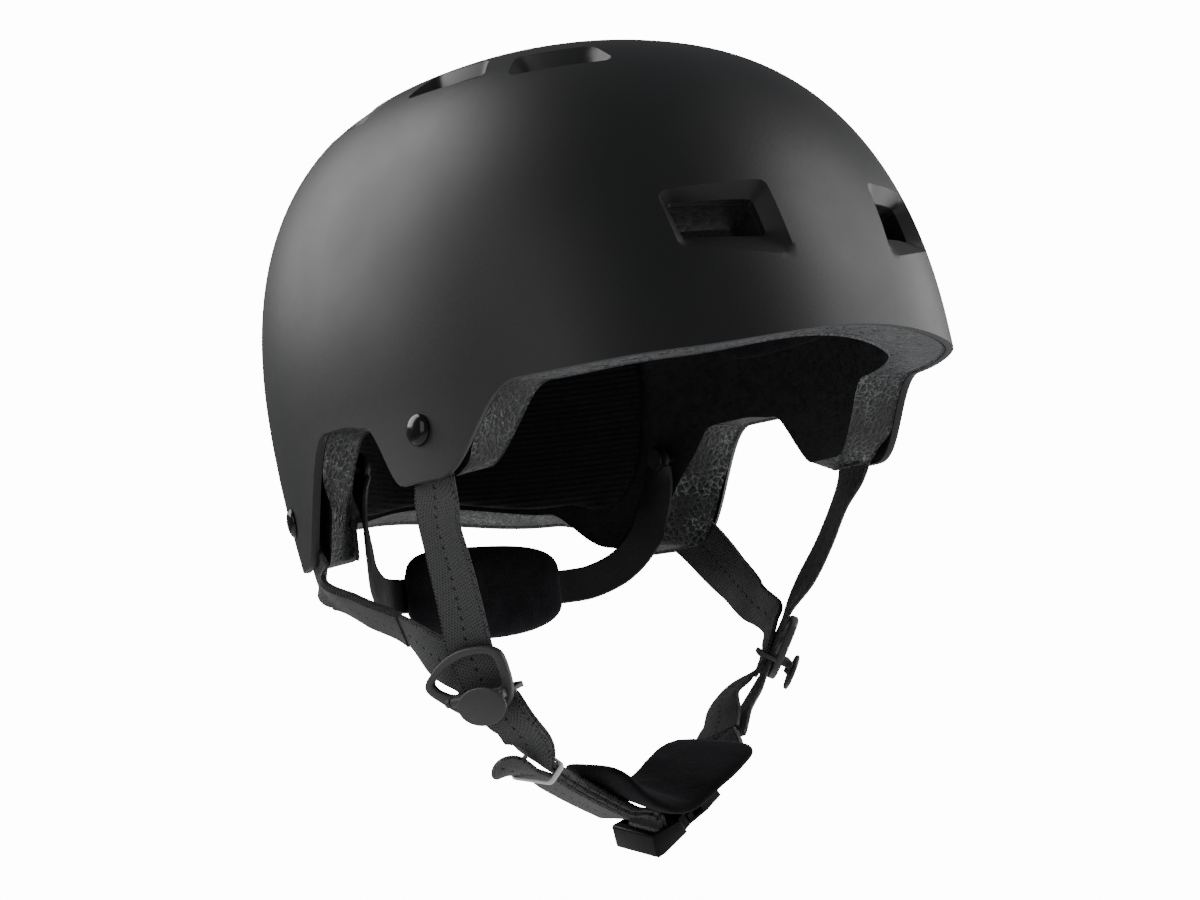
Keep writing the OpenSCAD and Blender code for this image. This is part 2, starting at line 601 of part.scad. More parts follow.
module divider_lock() {
    translate([0, lock_y, lock_z]) difference() {
        union() {
            translate([ear_x[0] + 1.5, 0, 0]) rotate([0, 90, 0])
                cylinder(h = ear_x[1] - ear_x[0] - 3, r = lock_pin_r + 1, $fn = 48);
            translate([ear_x[0] + 1.5, -4, 0.3])
                cube([ear_x[1] - ear_x[0] - 3, 4, lock_pin_r + 0.7]);
            translate([2.5, -2.6, 1.1]) linear_extrude(1.9)
                polygon([for (a = [0:10:350]) [lock_r * cos(a), lock_r * 0.8 * sin(a)]]);
        }
        rotate([0, 90, 0]) translate([0, 0, -20])
            cylinder(h = 40, r = lock_pin_r + run_gap, $fn = 48);
    }
}
module divider_pin() {
    translate([(ear_x[0] + ear_x[1]) / 2, lock_y, lock_z]) rotate([0, 90, 0])
        cylinder(h = ear_x[1] - ear_x[0] + 2.2, r = lock_pin_r, center = true, $fn = 48);
}
module at_right_divider() {
    translate(divider_right) rotate(right_turn) children();
}
module at_left_divider() {
    translate(divider_left) mirror([1, 0, 0]) rotate(left_turn) children();
}
module divider_frame_right() {
    color(charcoal) at_right_divider() divider_frame();
}
module divider_frame_left() {
    color(charcoal) at_left_divider() divider_frame();
}
module divider_lock_right() {
    color(charcoal) at_right_divider() divider_lock();
}
module divider_lock_left() {
    color(charcoal) at_left_divider() divider_lock();
}
module divider_pins() {
    color(charcoal) {
        at_right_divider() divider_pin();
        at_left_divider() divider_pin();
    }
}

// The buckle's own frame: x from its end face to the clip, y back, z up to the chin
buckle_at = [-14, -2.1, -152.4];
buckle_turn = [14, -18, -8];
bx = [0.942, -0.132, 0.309];
by = [0.061, 0.971, 0.23];
bz = [-0.331, -0.198, 0.923];
function bk(x, y, z) = buckle_at + x * bx + y * by + z * bz;
module at_buckle() {
    translate(buckle_at) rotate(buckle_turn) children();
}

// The socket has its own frame, pitched up from the clip's top edge at the seam
seam_pitch = 21;
sx = bx * cos(seam_pitch) + bz * sin(seam_pitch);
sz = bz * cos(seam_pitch) - bx * sin(seam_pitch);
seam_at = buckle_at + clip_l * bx + clip_t / 2 * bz - socket_t / 2 * sz;
function sk(x, y, z) = seam_at + x * sx + y * by + z * sz;
module at_socket() {
    at_buckle() translate([clip_l, 0, clip_t / 2]) rotate([0, -seam_pitch, 0])
        translate([0, 0, -socket_t / 2]) children();
}

bar_r = 1.5;
loop_gap = 0.3;
bar_room = bar_r + loop_gap + web_t + 1;
bar_x = 3.2 + bar_room;
bar_z = 1;
socket_bar_x = socket_l - bar_r;
double_t = 2 * web_t + seat_gap;
edge_on = [-0.29, -0.89, -0.35];
chin_r = [[at_right(7, -14.2, layer_z / 2), right_wide(1, 0.2)],
    [[-67.5, -8.8, -107], [0.05, -0.98, 0.15]],
    [[-61.5, -7.5, -113.5], [0.1, -0.98, 0.05]],
    [[-56, -3.6, -118.4], [-0.24, -0.92, -0.27]],
    [[-50, -2.5, -121.6], edge_on],
    [[-42, -2, -126.3], edge_on],
    [[-30, -1.8, -132.6], edge_on],
    [[-18, -2.4, -138.8], edge_on],
    [bk(bar_x - 1.6, 0, 9), -by],
    [bk(bar_x - 0.2, 0, 6), -by],
    [bk(bar_x, 0, bar_z + bar_r + loop_gap + web_t / 2), -by]];

// The webbing's turn round a buckle's bar
module bar_loop() {
    rotate([90, 0, 0]) difference() {
        cylinder(h = web_w - 0.6, r = bar_r + loop_gap + web_t, center = true, $fn = 48);
        cylinder(h = web_w + 2, r = bar_r + loop_gap, center = true, $fn = 48);
    }
}
module chin_strap_right() {
    color(black) {
        ribbon(chin_r, web_w, double_t, 2);
        at_buckle() translate([bar_x, 0, bar_z]) bar_loop();
    }
}

// The free end of the strap: it hangs fanned out below the strap, through the keeper
tail_fan = 19;
tail_down = [-0.4, 0.42, -0.81];
function fanned(a) = edge_on * cos(a) - tail_down * sin(a);
tail_wide = fanned(tail_fan);
tail_off = double_t / 2 + web_t / 2 + 0.5 + web_w / 2 * sin(tail_fan);
function under_strap(i, d) = [chin_r[i][0] + tail_down * (tail_off + d), tail_wide];
tail_keys = [under_strap(7, 0), under_strap(6, 0.3), under_strap(5, 0.4), under_strap(4, 0.4),
    [[-58, 1.4, -124.2], fanned(23)], [[-64, 2.2, -122.6], fanned(42)],
    [[-69, 2.6, -120.2], fanned(56)]];
module strap_tail() {
    color(black) ribbon(tail_keys, web_w, web_t, 2);
}

// The keeper: a white rubber ring round the strap and its free end
keeper_l = 2;
keeper_on = -2;
keeper_outline = [[10.9, -3], [11.3, -1.8], [11.3, 5.2], [10.8, 6.4], [9.2, 7.3], [-8.2, 13.1],
    [-9.9, 13.1], [-11, 12.1], [-11.3, 9.8], [-11.3, -1.8], [-10.9, -3], [-9.4, -3.6],
    [9.4, -3.6]];
keeper_window = [[9.9, -2.1], [10.1, -1.5], [10.1, 4.8], [9.8, 5.5], [8.8, 6.1], [-8.5, 11.9],
    [-9.5, 11.8], [-10, 11.2], [-10.1, 9.6], [-10.1, -1.5], [-9.9, -2.1], [-9.3, -2.4],
    [9.3, -2.4]];
module strap_keeper() {
    run = unit(chin_r[5][0] - chin_r[4][0]);
    wide = unit(edge_on - (edge_on * run) * run);
    down = sign(cross(run, wide) * tail_down) * cross(run, wide);
    mid = chin_r[4][0] + run * keeper_on;
    color(ring_white) multmatrix([[wide[0], down[0], run[0], mid[0]],
        [wide[1], down[1], run[1], mid[1]], [wide[2], down[2], run[2], mid[2]], [0, 0, 0, 1]])
        translate([0, 0, -keeper_l / 2]) linear_extrude(keeper_l) difference() {
            polygon(keeper_outline);
            polygon(keeper_window);
        }
}
module rounded_box(w, h, r) {
    polygon([for (c = [[1, 1, 0], [-1, 1, 90], [-1, -1, 180], [1, -1, 270]])
        for (a = [0:15:90])
            [c[0] * (w / 2 - r) + r * cos(a + c[2]), c[1] * (h / 2 - r) + r * sin(a + c[2])]]);
}

// Below the left divider the webbing opens into two legs that are sewn together again
leg_join = [37, 0.5, -119.5];
front_leg_l = [[at_left(7, -14.6, 0), left_wide(1, 0.2)],
    [[60.5, 8, -104.5], [0.45, 0.88, -0.1]],
    [[48, 4, -113], [0.4, 0.9, -0.1]],
    [leg_join + [0, -0.8, 0.1], [0.15, 0.97, 0.1]]];
rear_leg_l = [[at_left(6.6, -14.6, layer_z - 0.2), left_wide(1, 0.2)],
    [[61, 14, -98.5], [0.25, 0.95, -0.1]],
    [[52, 14, -104.5], [0.15, 0.95, -0.2]],
    [[44, 8, -111.5], [0.1, 0.97, -0.05]],
    [leg_join + [-1.9, 1.2, 2.1], [0.15, 0.97, 0.1]]];
module front_leg_left() {
    color(black) ribbon(front_leg_l);
}
module rear_leg_left() {
    color(black) ribbon(rear_leg_l);
}
chin_l = [[leg_join + [-3.3, -0.5, -1.2], [0.15, 0.97, 0.1]],
    [[29.5, -4.9, -124.8], [0.1, 0.97, 0.17]],
    [[23.4, -8.4, -128.4], by],
    [sk(socket_bar_x + 6, 0, 0), by],
    [sk(socket_bar_x + bar_r + loop_gap + web_t / 2, 0, 0), by]];
module chin_strap_left() {
    color(black) {
        ribbon(chin_l, web_w, double_t, 2);
        at_socket() translate([socket_bar_x, 0, 0]) bar_loop();
    }
}

// A soft band swept along stations like the webbing: rounded across, thin at both ends
module soft_band(keys, w, t, per, sides) {
    path = swept(keys, per);
    n = len(path);
    rings = [for (i = [0:n - 1])
        let(p = path[i][0], full = 0.45 + 0.55 * crown(i / (n - 1)),
            end = min(1, max(0, (abs(2 * i / (n - 1) - 1) - 0.8) / 0.2)),
            narrow = 0.62 + 0.38 * sqrt(1 - end * end),
            run = unit(path[min(n - 1, i + 1)][0] - path[max(0, i - 1)][0]),
            wide = unit(path[i][1] - (path[i][1] * run) * run), up = cross(run, wide))
        for (k = [0:sides - 1])
            let(a = 360 * (k + 0.5) / sides, c = cos(a), d = sin(a))
            p + wide * w / 2 * narrow * (0.9 + 0.1 * full) * sign(c) * pow(abs(c), 0.45)
                + up * t / 2 * full * sign(d) * pow(abs(d), 0.8)];
    tube = [for (i = [0:n - 2]) for (k = [0:sides - 1])
        let(a = sides * i + k, b = sides * i + (k + 1) % sides)
        for (f = [[a, a + sides, b + sides], [a, b + sides, b]]) f];
    ends = [for (k = [1:sides - 2])
        for (f = [[0, k, k + 1], [(n - 1) * sides, (n - 1) * sides + k + 1, (n - 1) * sides + k]]) f];
    polyhedron(rings, concat(tube, ends), convexity = 6);
}

// The chin pad: a fleece sling that lies on the socket and the left strap
chin_pad_w = 42;
chin_pad_t = 6;
chin_pad_keys = [[[-32, -3, -121.6], [-0.1, -0.98, -0.14]],
    [[-18.5, -4, -130.5], [-0.1, -0.97, -0.2]],
    [[-5, -6, -137.2], [-0.1, -0.95, -0.28]],
    [[9, -8.5, -129.5], [-0.1, -0.94, -0.3]],
    [[26, -6.5, -119.9], [-0.12, -0.93, -0.32]]];
module chin_pad() {
    color(fleece) soft_band(chin_pad_keys, chin_pad_w, chin_pad_t, 6, 20);
}

// The clip: a wedge-shaped outer block with a slot and a bar for the webbing,
// and past the seam a guide and two sprung prongs that enter the socket
slot_w = web_w + 1.2;
mouth_h = 3.2;
mouth_w = buckle_w - 6;
hollow_l = socket_bar_x - bar_room - 1;
window_x = [3.5, hollow_l - 2.2];
prong_t = 2;
guide_w = 4;
in_t = mouth_h - 2 * buckle_gap;
edge_r = 1.4;
module block(x0, x1, w, t, r = edge_r) {
    translate([x0, 0, 0]) rotate([90, 0, 90]) linear_extrude(x1 - x0) rounded_box(w, t, r);
}
module buckle_clip() {
    under = [clip_l + socket_t * sin(seam_pitch), clip_t / 2 - socket_t * cos(seam_pitch)];
    color(black) {
        at_buckle() {
            difference() {
                intersection() {
                    block(0, clip_l + clip_t, buckle_w, clip_t);
                    rotate([90, 0, 0]) linear_extrude(2 * buckle_w, center = true)
                        polygon([[0.6, clip_t / 2], [0, clip_t / 2 - 0.6], [0, 0.8 - clip_t / 2],
                            [0.8, -clip_t / 2], [4, -clip_t / 2 + 0.4], under,
                            [clip_l, clip_t / 2]]);
                }
                translate([bar_x - bar_room, -slot_w / 2, -clip_t])
                    cube([2 * bar_room, slot_w, 2 * clip_t]);
            }
            translate([bar_x, 0, bar_z]) rotate([90, 0, 0])
                cylinder(h = slot_w + 2, r = bar_r, center = true, $fn = 48);
        }
        at_socket() translate([-1, -guide_w / 2, -in_t / 2]) cube([hollow_l, guide_w, in_t]);
    }
}
prong_y = mouth_w / 2 - buckle_gap;
prong_tip = hollow_l - 1;
module clip_prongs() {
    barb_y = prong_y + 1.9;
    color(black) at_socket() for (s = [-1, 1])
        translate([0, 0, -in_t / 2]) linear_extrude(in_t) polygon([[0, s * prong_y],
            [window_x[0] + 0.5, s * prong_y], [window_x[0] + 0.5, s * barb_y],
            [window_x[0] + 2.5, s * barb_y], [prong_tip - 1, s * prong_y],
            [prong_tip, s * (prong_y - 1)], [prong_tip, s * (prong_y - prong_t)],
            [0, s * (prong_y - prong_t)]]);
}

// The socket: side windows for the barbs, and a bar at its end for the webbing
module both_edges() {
    children();
    mirror([0, 1]) children();
}
module buckle_socket() {
    color(black) at_socket() {
        difference() {
            intersection() {
                block(seat_gap, socket_l, buckle_w, socket_t);
                linear_extrude(2 * socket_t, center = true) both_edges() polygon([[0, 0],
                    [0, buckle_w / 2 - 2], [4, buckle_w / 2 - 2], [8, buckle_w / 2 - 0.9],
                    [11, buckle_w / 2], [socket_l, buckle_w / 2], [socket_l, 0]]);
            }
            translate([socket_bar_x - bar_room, -slot_w / 2, -socket_t])
                cube([socket_l, slot_w, 2 * socket_t]);
            translate([-1, -mouth_w / 2, -mouth_h / 2]) cube([hollow_l + 1, mouth_w, mouth_h]);
            translate([window_x[0], -buckle_w, -mouth_h / 2])
                cube([window_x[1] - window_x[0], 2 * buckle_w, mouth_h]);
        }
        translate([socket_bar_x, 0, 0]) rotate([90, 0, 0])
            cylinder(h = slot_w + 2, r = bar_r, center = true, $fn = 48);
    }
}

// The nape cradle: two arms on pins in the liner, a yoke and its pad
pin_at = 127;
pin_z = -7;
pin_p = skin(pin_at, pin_z, liner_inset(pin_at, pin_z));
pin_depth = 8;
eye_r = 5.5;
arm_x = pin_p[0] - arm_t / 2 - 0.8 * eye_r - 0.6;
module at_cradle_pin() {
    translate([0, pin_p[1], pin_z]) rotate([0, 90, 0]) children();
}
bend_r = 150;
yoke_t = 1.8;
nape_mid = [0, 92, -52];
function bend_y(x, r) = nape_mid[1] - bend_r + sqrt(r * r - x * x);
arm_r = bend_r - seat_gap - arm_t / 2;
function arm_end(x) = [[x, bend_y(x, arm_r), nape_mid[2]], [0, 0, -1]];
arm_keys = [[[arm_x, pin_p[1] + 0.3, pin_z - 2.5], [0, -1, 0.1]],
    [[arm_x - 0.4, pin_p[1] + 1.6, pin_z - 10], [0.26, -0.96, 0]],
    [[arm_x - 2.7, pin_p[1] + 3.6, pin_z - 20], [0.6, -0.8, -0.05]],
    [[arm_x - 6.4, pin_p[1] + 7.6, pin_z - 31], [0.6, -0.63, -0.46]],
    [[arm_x - 12.6, pin_p[1] + 14.8, pin_z - 39.5], [0.41, -0.32, -0.84]],
    [[arm_x - 21.5, pin_p[1] + 22.3, pin_z - 44], [0.28, -0.1, -0.94]],
    arm_end(nape_w / 2 + 4), arm_end(nape_w / 2 - 4), arm_end(nape_w / 2 - 12)];
module cradle_arm() {
    difference() {
        union() {
            ribbon(arm_keys, arm_w, arm_t, 2);
            translate([arm_x, 0, 0]) at_cradle_pin()
                cylinder(h = arm_t, r = eye_r, center = true, $fn = 64);
        }
        translate([arm_x, 0, 0]) at_cradle_pin()
            cylinder(h = 20, r = cradle_pin_r + run_gap, center = true, $fn = 64);
    }
}
module cradle_arm_left() {
    color(black) cradle_arm();
}
module cradle_arm_right() {
    color(black) mirror([1, 0, 0]) cradle_arm();
}
module cradle_pins() {
    head_t = 1.4;
    head_x = arm_x - arm_t / 2 - seat_gap;
    color(charcoal) both_sides() at_cradle_pin() {
        translate([0, 0, head_x])
            cylinder(h = pin_p[0] + pin_depth - head_x, r = cradle_pin_r, $fn = 64);
        translate([0, 0, head_x - head_t]) cylinder(h = head_t, r = cradle_pin_r + 1.8, $fn = 64);
    }
}
module nape_outline(grow) {
    w = nape_w / 2 + grow;
    h = nape_h / 2 + grow;
    polygon([[-w * 0.98, h * 0.45], [-w * 0.78, h * 0.86], [-w * 0.3, h], [w * 0.3, h],
        [w * 0.78, h * 0.86], [w * 0.98, h * 0.45], [w, -h * 0.2], [w * 0.9, -h * 0.45],
        [w * 0.6, -h * 0.85], [w * 0.2, -h], [-w * 0.2, -h], [-w * 0.6, -h * 0.85],
        [-w * 0.9, -h * 0.45], [-w, -h * 0.2]]);
}
// A plate bent round the nape, cut to the pad's outline
module bent(r_out, thick, grow) {
    intersection() {
        translate([0, nape_mid[1] - bend_r, nape_mid[2] - 60]) difference() {
            cylinder(h = 120, r = r_out, $fn = 180);
            translate([0, 0, -1]) cylinder(h = 122, r = r_out - thick, $fn = 180);
        }
        translate([0, nape_mid[1] - 40, nape_mid[2]]) rotate([-90, 0, 0])
            linear_extrude(60) mirror([0, 1]) nape_outline(grow);
    }
}
module nape_yoke() {
    color(black) bent(bend_r + yoke_t, yoke_t, -3);
}

// The pad is full in the middle and thin at its edge; its sides draw in between its corners
nape_pad_turns = 44;
nape_pad_rings = [0.3, 0.55, 0.76, 0.9, 0.97, 1];
function nape_edge(a) = let(c = cos(a), d = sin(a), k = pow(pow(abs(c), 3.4) + pow(abs(d), 3.4), -1 / 3.4))
    [nape_w / 2 * c * k * (1 - 0.035 * pow(cos(2 * a), 2)),
        nape_h / 2 * d * k * (1 - (d < 0 ? 0.16 * pow(abs(c), 2) : 0.03))];
module nape_pad() {
    n = nape_pad_turns;
    m = len(nape_pad_rings);
    back_r = bend_r - arm_t - 2 * seat_gap;
    function place(r, a, side) = let(e = nape_edge(a) * r)
        [e[0], bend_y(e[0], back_r) - side * nape_t * (0.3 + 0.7 * pow(1 - pow(r, 5), 0.6)),
            nape_mid[2] + e[1]];
    pts = concat([for (side = [0, 1]) for (i = [0:n - 1]) for (r = nape_pad_rings)
        place(r, 360 * i / n, side)], [place(0, 0, 0), place(0, 0, 1)]);
    faces = [for (i = [0:n - 1]) let(a = i * m, b = (i + 1) % n * m, h = n * m) for (f = concat(
        [for (j = [0:m - 2]) for (g = [[a + j, a + j + 1, b + j + 1], [a + j, b + j + 1, b + j],
            [h + b + j + 1, h + a + j + 1, h + a + j], [h + b + j, h + b + j + 1, h + a + j]]) g],
        [[a, b, 2 * h], [h + b, h + a, 2 * h + 1],
            [a + m - 1, h + a + m - 1, h + b + m - 1], [a + m - 1, h + b + m - 1, b + m - 1]])) f];
    color(fleece) polyhedron(pts, faces, convexity = 4);
}

outer_shell();
foam_liner();
front_rivets();
rear_rivets();
front_anchors();
rear_anchors();
brow_pad();
crown_pad();
side_pad_right();
side_pad_left();
rear_pad();
hook_dots();
front_strap_right();
front_strap_left();
rear_strap_right();
rear_strap_left();
strap_label();
divider_frame_right();
divider_frame_left();
divider_lock_right();
divider_lock_left();
divider_pins();
chin_strap_right();
strap_tail();
strap_keeper();
front_leg_left();
rear_leg_left();
chin_strap_left();
chin_pad();
buckle_socket();
buckle_clip();
clip_prongs();
cradle_arm_right();
cradle_arm_left();
cradle_pins();
nape_yoke();
nape_pad();
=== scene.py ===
import math

import bmesh
import bpy
import numpy as np
from mathutils import Matrix, Vector


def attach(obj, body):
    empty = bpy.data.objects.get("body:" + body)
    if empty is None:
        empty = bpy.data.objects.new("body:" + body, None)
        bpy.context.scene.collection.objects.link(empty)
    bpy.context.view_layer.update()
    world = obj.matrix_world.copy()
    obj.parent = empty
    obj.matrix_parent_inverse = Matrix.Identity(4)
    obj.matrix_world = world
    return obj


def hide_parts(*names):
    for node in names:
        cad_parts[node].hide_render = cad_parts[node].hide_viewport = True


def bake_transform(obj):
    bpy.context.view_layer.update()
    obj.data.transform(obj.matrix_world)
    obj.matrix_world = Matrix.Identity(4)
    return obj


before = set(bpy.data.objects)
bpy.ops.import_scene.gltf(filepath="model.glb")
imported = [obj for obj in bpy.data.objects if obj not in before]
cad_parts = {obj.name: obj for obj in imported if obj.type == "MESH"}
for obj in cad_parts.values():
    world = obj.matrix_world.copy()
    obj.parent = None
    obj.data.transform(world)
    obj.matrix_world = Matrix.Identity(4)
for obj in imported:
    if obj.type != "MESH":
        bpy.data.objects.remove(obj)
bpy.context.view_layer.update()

# %% [markdown]
# The shell is one smooth egg-like skin. It can be sculpted, but a formula is easier to keep even:
# a superellipse seen from above, drawn in toward the crown. The same formula, with an inset,
# gives the inside of the shell, the foam and the pads, so they all nest.
# %% Shape of the skin, in millimetres
HALF_WIDTH, FRONT_REACH, REAR_REACH = 106.0, 136.0, 140.4
DOME_HEIGHT, WAIST_HEIGHT, CROWN_LEAN = 127.4, 9.0, 0.118
PLAN_POWER, RISE_POWER, SIDE_POWER = 2.2035, 2.31, 2.838
FRONT_FLARE, REAR_FLARE, SIDE_FLARE = -0.037, 0.404, -0.22
SHELL_WALL, LINER_GAP = 2.8, 0.3
LINER_IN = SHELL_WALL + LINER_GAP
SLOPE_TURN, SLOPE_RISE, RUN_TURN = 0.4, 0.15, 0.5
MM = 0.001


def plan_radius(turn, inset):
    """Distance from the axis to the skin at its widest height."""
    side = np.abs(np.sin(turn)) / (HALF_WIDTH - inset)
    reach = np.where(np.cos(turn) > 0, FRONT_REACH, REAR_REACH) - inset
    ahead = np.abs(np.cos(turn)) / reach
    return (side ** PLAN_POWER + ahead ** PLAN_POWER) ** (-1 / PLAN_POWER)


def skin(degrees, height, inset):
    """Points of the skin: the angle from the front, the height, and how far inside it lies."""
    turn, height, inset = np.broadcast_arrays(np.radians(degrees), height, inset)
    u = (height - WAIST_HEIGHT) / (DOME_HEIGHT - inset)
    above = np.clip(1 - np.clip(u, 0, 1) ** RISE_POWER, 0, 1) ** (1 / SIDE_POWER)
    flare = SIDE_FLARE * np.sin(turn) ** 2
    flare = flare + np.where(np.cos(turn) > 0, FRONT_FLARE, REAR_FLARE) * np.cos(turn) ** 2
    radius = plan_radius(turn, inset) * np.where(u >= 0, above, 1 - flare * u * u)
    back = -radius * np.cos(turn) + CROWN_LEAN * (height - WAIST_HEIGHT)
    return np.stack([radius * np.sin(turn), back, height], axis=-1)


def lengths(vectors):
    """The length of each vector."""
    return np.linalg.norm(vectors, axis=-1, keepdims=True)


def outward(degrees, height, inset):
    """Unit vectors that point straight out of the skin, from its slopes over a short step."""
    around = skin(degrees + SLOPE_TURN, height, inset) - skin(degrees - SLOPE_TURN, height, inset)
    up = skin(degrees, height + SLOPE_RISE, inset) - skin(degrees, height - SLOPE_RISE, inset)
    normal = np.cross(around, up)
    return normal / np.maximum(lengths(normal), 1e-9)


def along_skin(degrees, height, inset):
    """Unit vectors that run round the skin at one height."""
    run = skin(degrees + RUN_TURN, height, inset) - skin(degrees - RUN_TURN, height, inset)
    return run / lengths(run)


# %% [markdown]
# The shell's lower edge is not level: it rises over the ears, and dips to a flap in front of each
# and to a corner behind. It could be cut with a curve, but a list of angles and heights, with a
# soft step from each to the next, lets every other piece ask how high the rim is.
# %% Height of the rim
def ease(a):
    """A soft step from 0 to 1."""
    return (1 - np.cos(np.pi * np.clip(a, 0, 1))) / 2


def eased(value, keys):
    """A smooth curve through keys of [place, value]."""
    value = np.abs(np.asarray(value, float))
    result = np.full(value.shape, float(keys[0][1]))
    for (a, va), (b, vb) in zip(keys, keys[1:]):
        result = np.where(value > a, va + (vb - va) * ease((value - a) / (b - a)), result)
    return result


RIM_KEYS = [[0, 11.2], [30, 7.2], [56, 6.0], [76, -22.6], [86, -22.6], [95, 0.6], [102, 2.6],
            [109, 2.6], [127, -41.8], [135, -41.8], [152, -25.5], [180, -19.5]]


def rim_height(degrees):
    return eased(degrees, RIM_KEYS)


print("rim at the brow and the ear:", rim_height(0.0), rim_height(105.0))

# %% [markdown]
# Every piece ends up as a mesh object with a material, smooth shading and real creases. One small
# helper does that, so that the cells below only have to work out points and faces. It takes
# millimetres, like the drawings of such parts, and stores metres.
# %% Make a mesh object
def new_piece(name, points_mm, faces, material=None, crease=38, uvs=None):
    mesh = bpy.data.meshes.new(name)
    mesh.from_pydata((np.asarray(points_mm, float) * MM).tolist(), [], faces)
    mesh.validate()
    piece = bpy.data.objects.new(name, mesh)
    bpy.context.scene.collection.objects.link(piece)
    if uvs is not None:
        layer = mesh.uv_layers.new(name="UVMap")
        corner = np.zeros(len(mesh.loops), np.int32)
        mesh.loops.foreach_get("vertex_index", corner)
        layer.data.foreach_set("uv", np.asarray(uvs, np.float32)[corner].ravel())
    if material is not None:
        mesh.materials.append(material)
    mesh.shade_smooth()
    mesh.set_sharp_from_angle(angle=math.radians(crease))
    return piece


def settle(piece, body, nodes=()):
    """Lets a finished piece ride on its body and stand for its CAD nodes."""
    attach(piece, body)
    if nodes:
        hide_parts(*nodes)
    print(piece.name, "on", body, "with", len(piece.data.polygons), "faces")
    return piece


def bake_modifiers(piece):
    """Turns a piece's modifiers into its mesh."""
    graph = bpy.context.evaluated_depsgraph_get()
    done = bpy.data.meshes.new_from_object(piece.evaluated_get(graph))
    old = piece.data
    piece.modifiers.clear()
    piece.data = done
    bpy.data.meshes.remove(old)
    return piece


# %% [markdown]
# Materials are node trees. Small helpers for a node, a link and a bump keep each recipe short
# enough to read. Object coordinates place every pattern in real metres, so that a thread or
# a bead has its true size on every piece.
# %% Helpers for node materials
def start_material(name, color, roughness, **sockets):
    """A new material with its shader, which the recipe then builds on."""
    material = bpy.data.materials.new(name)
    material.use_nodes = True
    shader = material.node_tree.nodes["Principled BSDF"]
    shader.inputs["Base Color"].default_value = (*color, 1)
    shader.inputs["Roughness"].default_value = roughness
    for socket, value in sockets.items():
        shader.inputs[socket.replace("_", " ")].default_value = value
    return material, shader


def add(material, kind, **inputs):
    """A node of a kind, with values or links for its inputs by name or number."""
    tree = material.node_tree
    node = tree.nodes.new(kind)
    for key, value in inputs.items():
        if key.startswith("set_"):
            setattr(node, key[4:], value)
            continue
        index = int(key[1:]) if key[0] == "i" and key[1:].isdigit() else key.replace("_", " ")
        if isinstance(value, bpy.types.NodeSocket):
            tree.links.new(value, node.inputs[index])
        else:
            node.inputs[index].default_value = value
    return node


def reckon(material, operation, a, b=0.0):
    """A sum, product or other result of two values."""
    return add(material, "ShaderNodeMath", set_operation=operation, i0=a, i1=b).outputs[0]


# %% [markdown]
# Nearly every finish needs the same three things: colours along a factor, a mix of two colours,
# and a bump that catches the light. Noise in the piece's own space keeps them from looking even.
# %% Helpers for colour, bump and noise
def ramp(material, factor, stops):
    """Colours along a factor: stops of (place, grey) or (place, (r, g, b))."""
    node = add(material, "ShaderNodeValToRGB", Fac=factor)
    cells = node.color_ramp.elements
    while len(cells) < len(stops):
        cells.new(0.5)
    for cell, (place, shade) in zip(cells, stops):
        cell.position = place
        cell.color = (*shade, 1) if isinstance(shade, tuple) else (shade, shade, shade, 1)
    return node.outputs["Color"]


def blended(material, factor, first, second):
    """Mixes two greys or colours by a factor."""
    node = add(material, "ShaderNodeMix", set_data_type="RGBA", Factor=factor)
    for index, shade in ((6, first), (7, second)):
        if isinstance(shade, bpy.types.NodeSocket):
            material.node_tree.links.new(shade, node.inputs[index])
        else:
            node.inputs[index].default_value = (*shade, 1)
    return node.outputs[2]


def raised(material, shader, height, depth, distance=0.001, below=None):
    """Adds a bump of a height socket to the shader, over an earlier bump if one is given."""
    bump = add(material, "ShaderNodeBump", Strength=depth, Distance=distance, Height=height)
    if below is not None:
        material.node_tree.links.new(below, bump.inputs["Normal"])
    material.node_tree.links.new(bump.outputs[0], shader.inputs["Normal"])
    return bump.outputs[0]


def noise(material, scale, detail=3.0):
    """Noise in the piece's own space; a scale of 1000 makes lumps about a millimetre wide."""
    where = add(material, "ShaderNodeTexCoord").outputs["Object"]
    return add(material, "ShaderNodeTexNoise", Vector=where, Scale=scale, Detail=detail).outputs[0]


def finish_link(material, socket, shader, name):
    """Lets a recipe drive one of the shader's inputs."""
    material.node_tree.links.new(socket, shader.inputs[name])


# %% [markdown]
# The shell is moulded plastic with a soft matte lacquer. It is not one flat black: a fine
# orange-peel texture breaks the highlight, and the gloss changes slightly from place to place.
# Noise drives both the roughness and a very shallow bump.
# %% Shell lacquer
lacquer, shader = start_material("matte_shell_lacquer", (0.0155, 0.0155, 0.0165), 0.47)
shader.inputs["Specular IOR Level"].default_value = 0.62
patchy = noise(lacquer, 38, 4)
finish_link(lacquer, ramp(lacquer, patchy, [(0.3, 0.45), (0.7, 0.5)]), shader, "Roughness")
tint = noise(lacquer, 9, 2)
finish_link(lacquer, blended(lacquer, tint, (0.0145, 0.0145, 0.0155), (0.0175, 0.0175, 0.0185)),
            shader, "Base Color")
peel = noise(lacquer, 1500, 2)
raised(lacquer, shader, peel, 0.10, 0.0003)
print("lacquer nodes:", len(lacquer.node_tree.nodes))

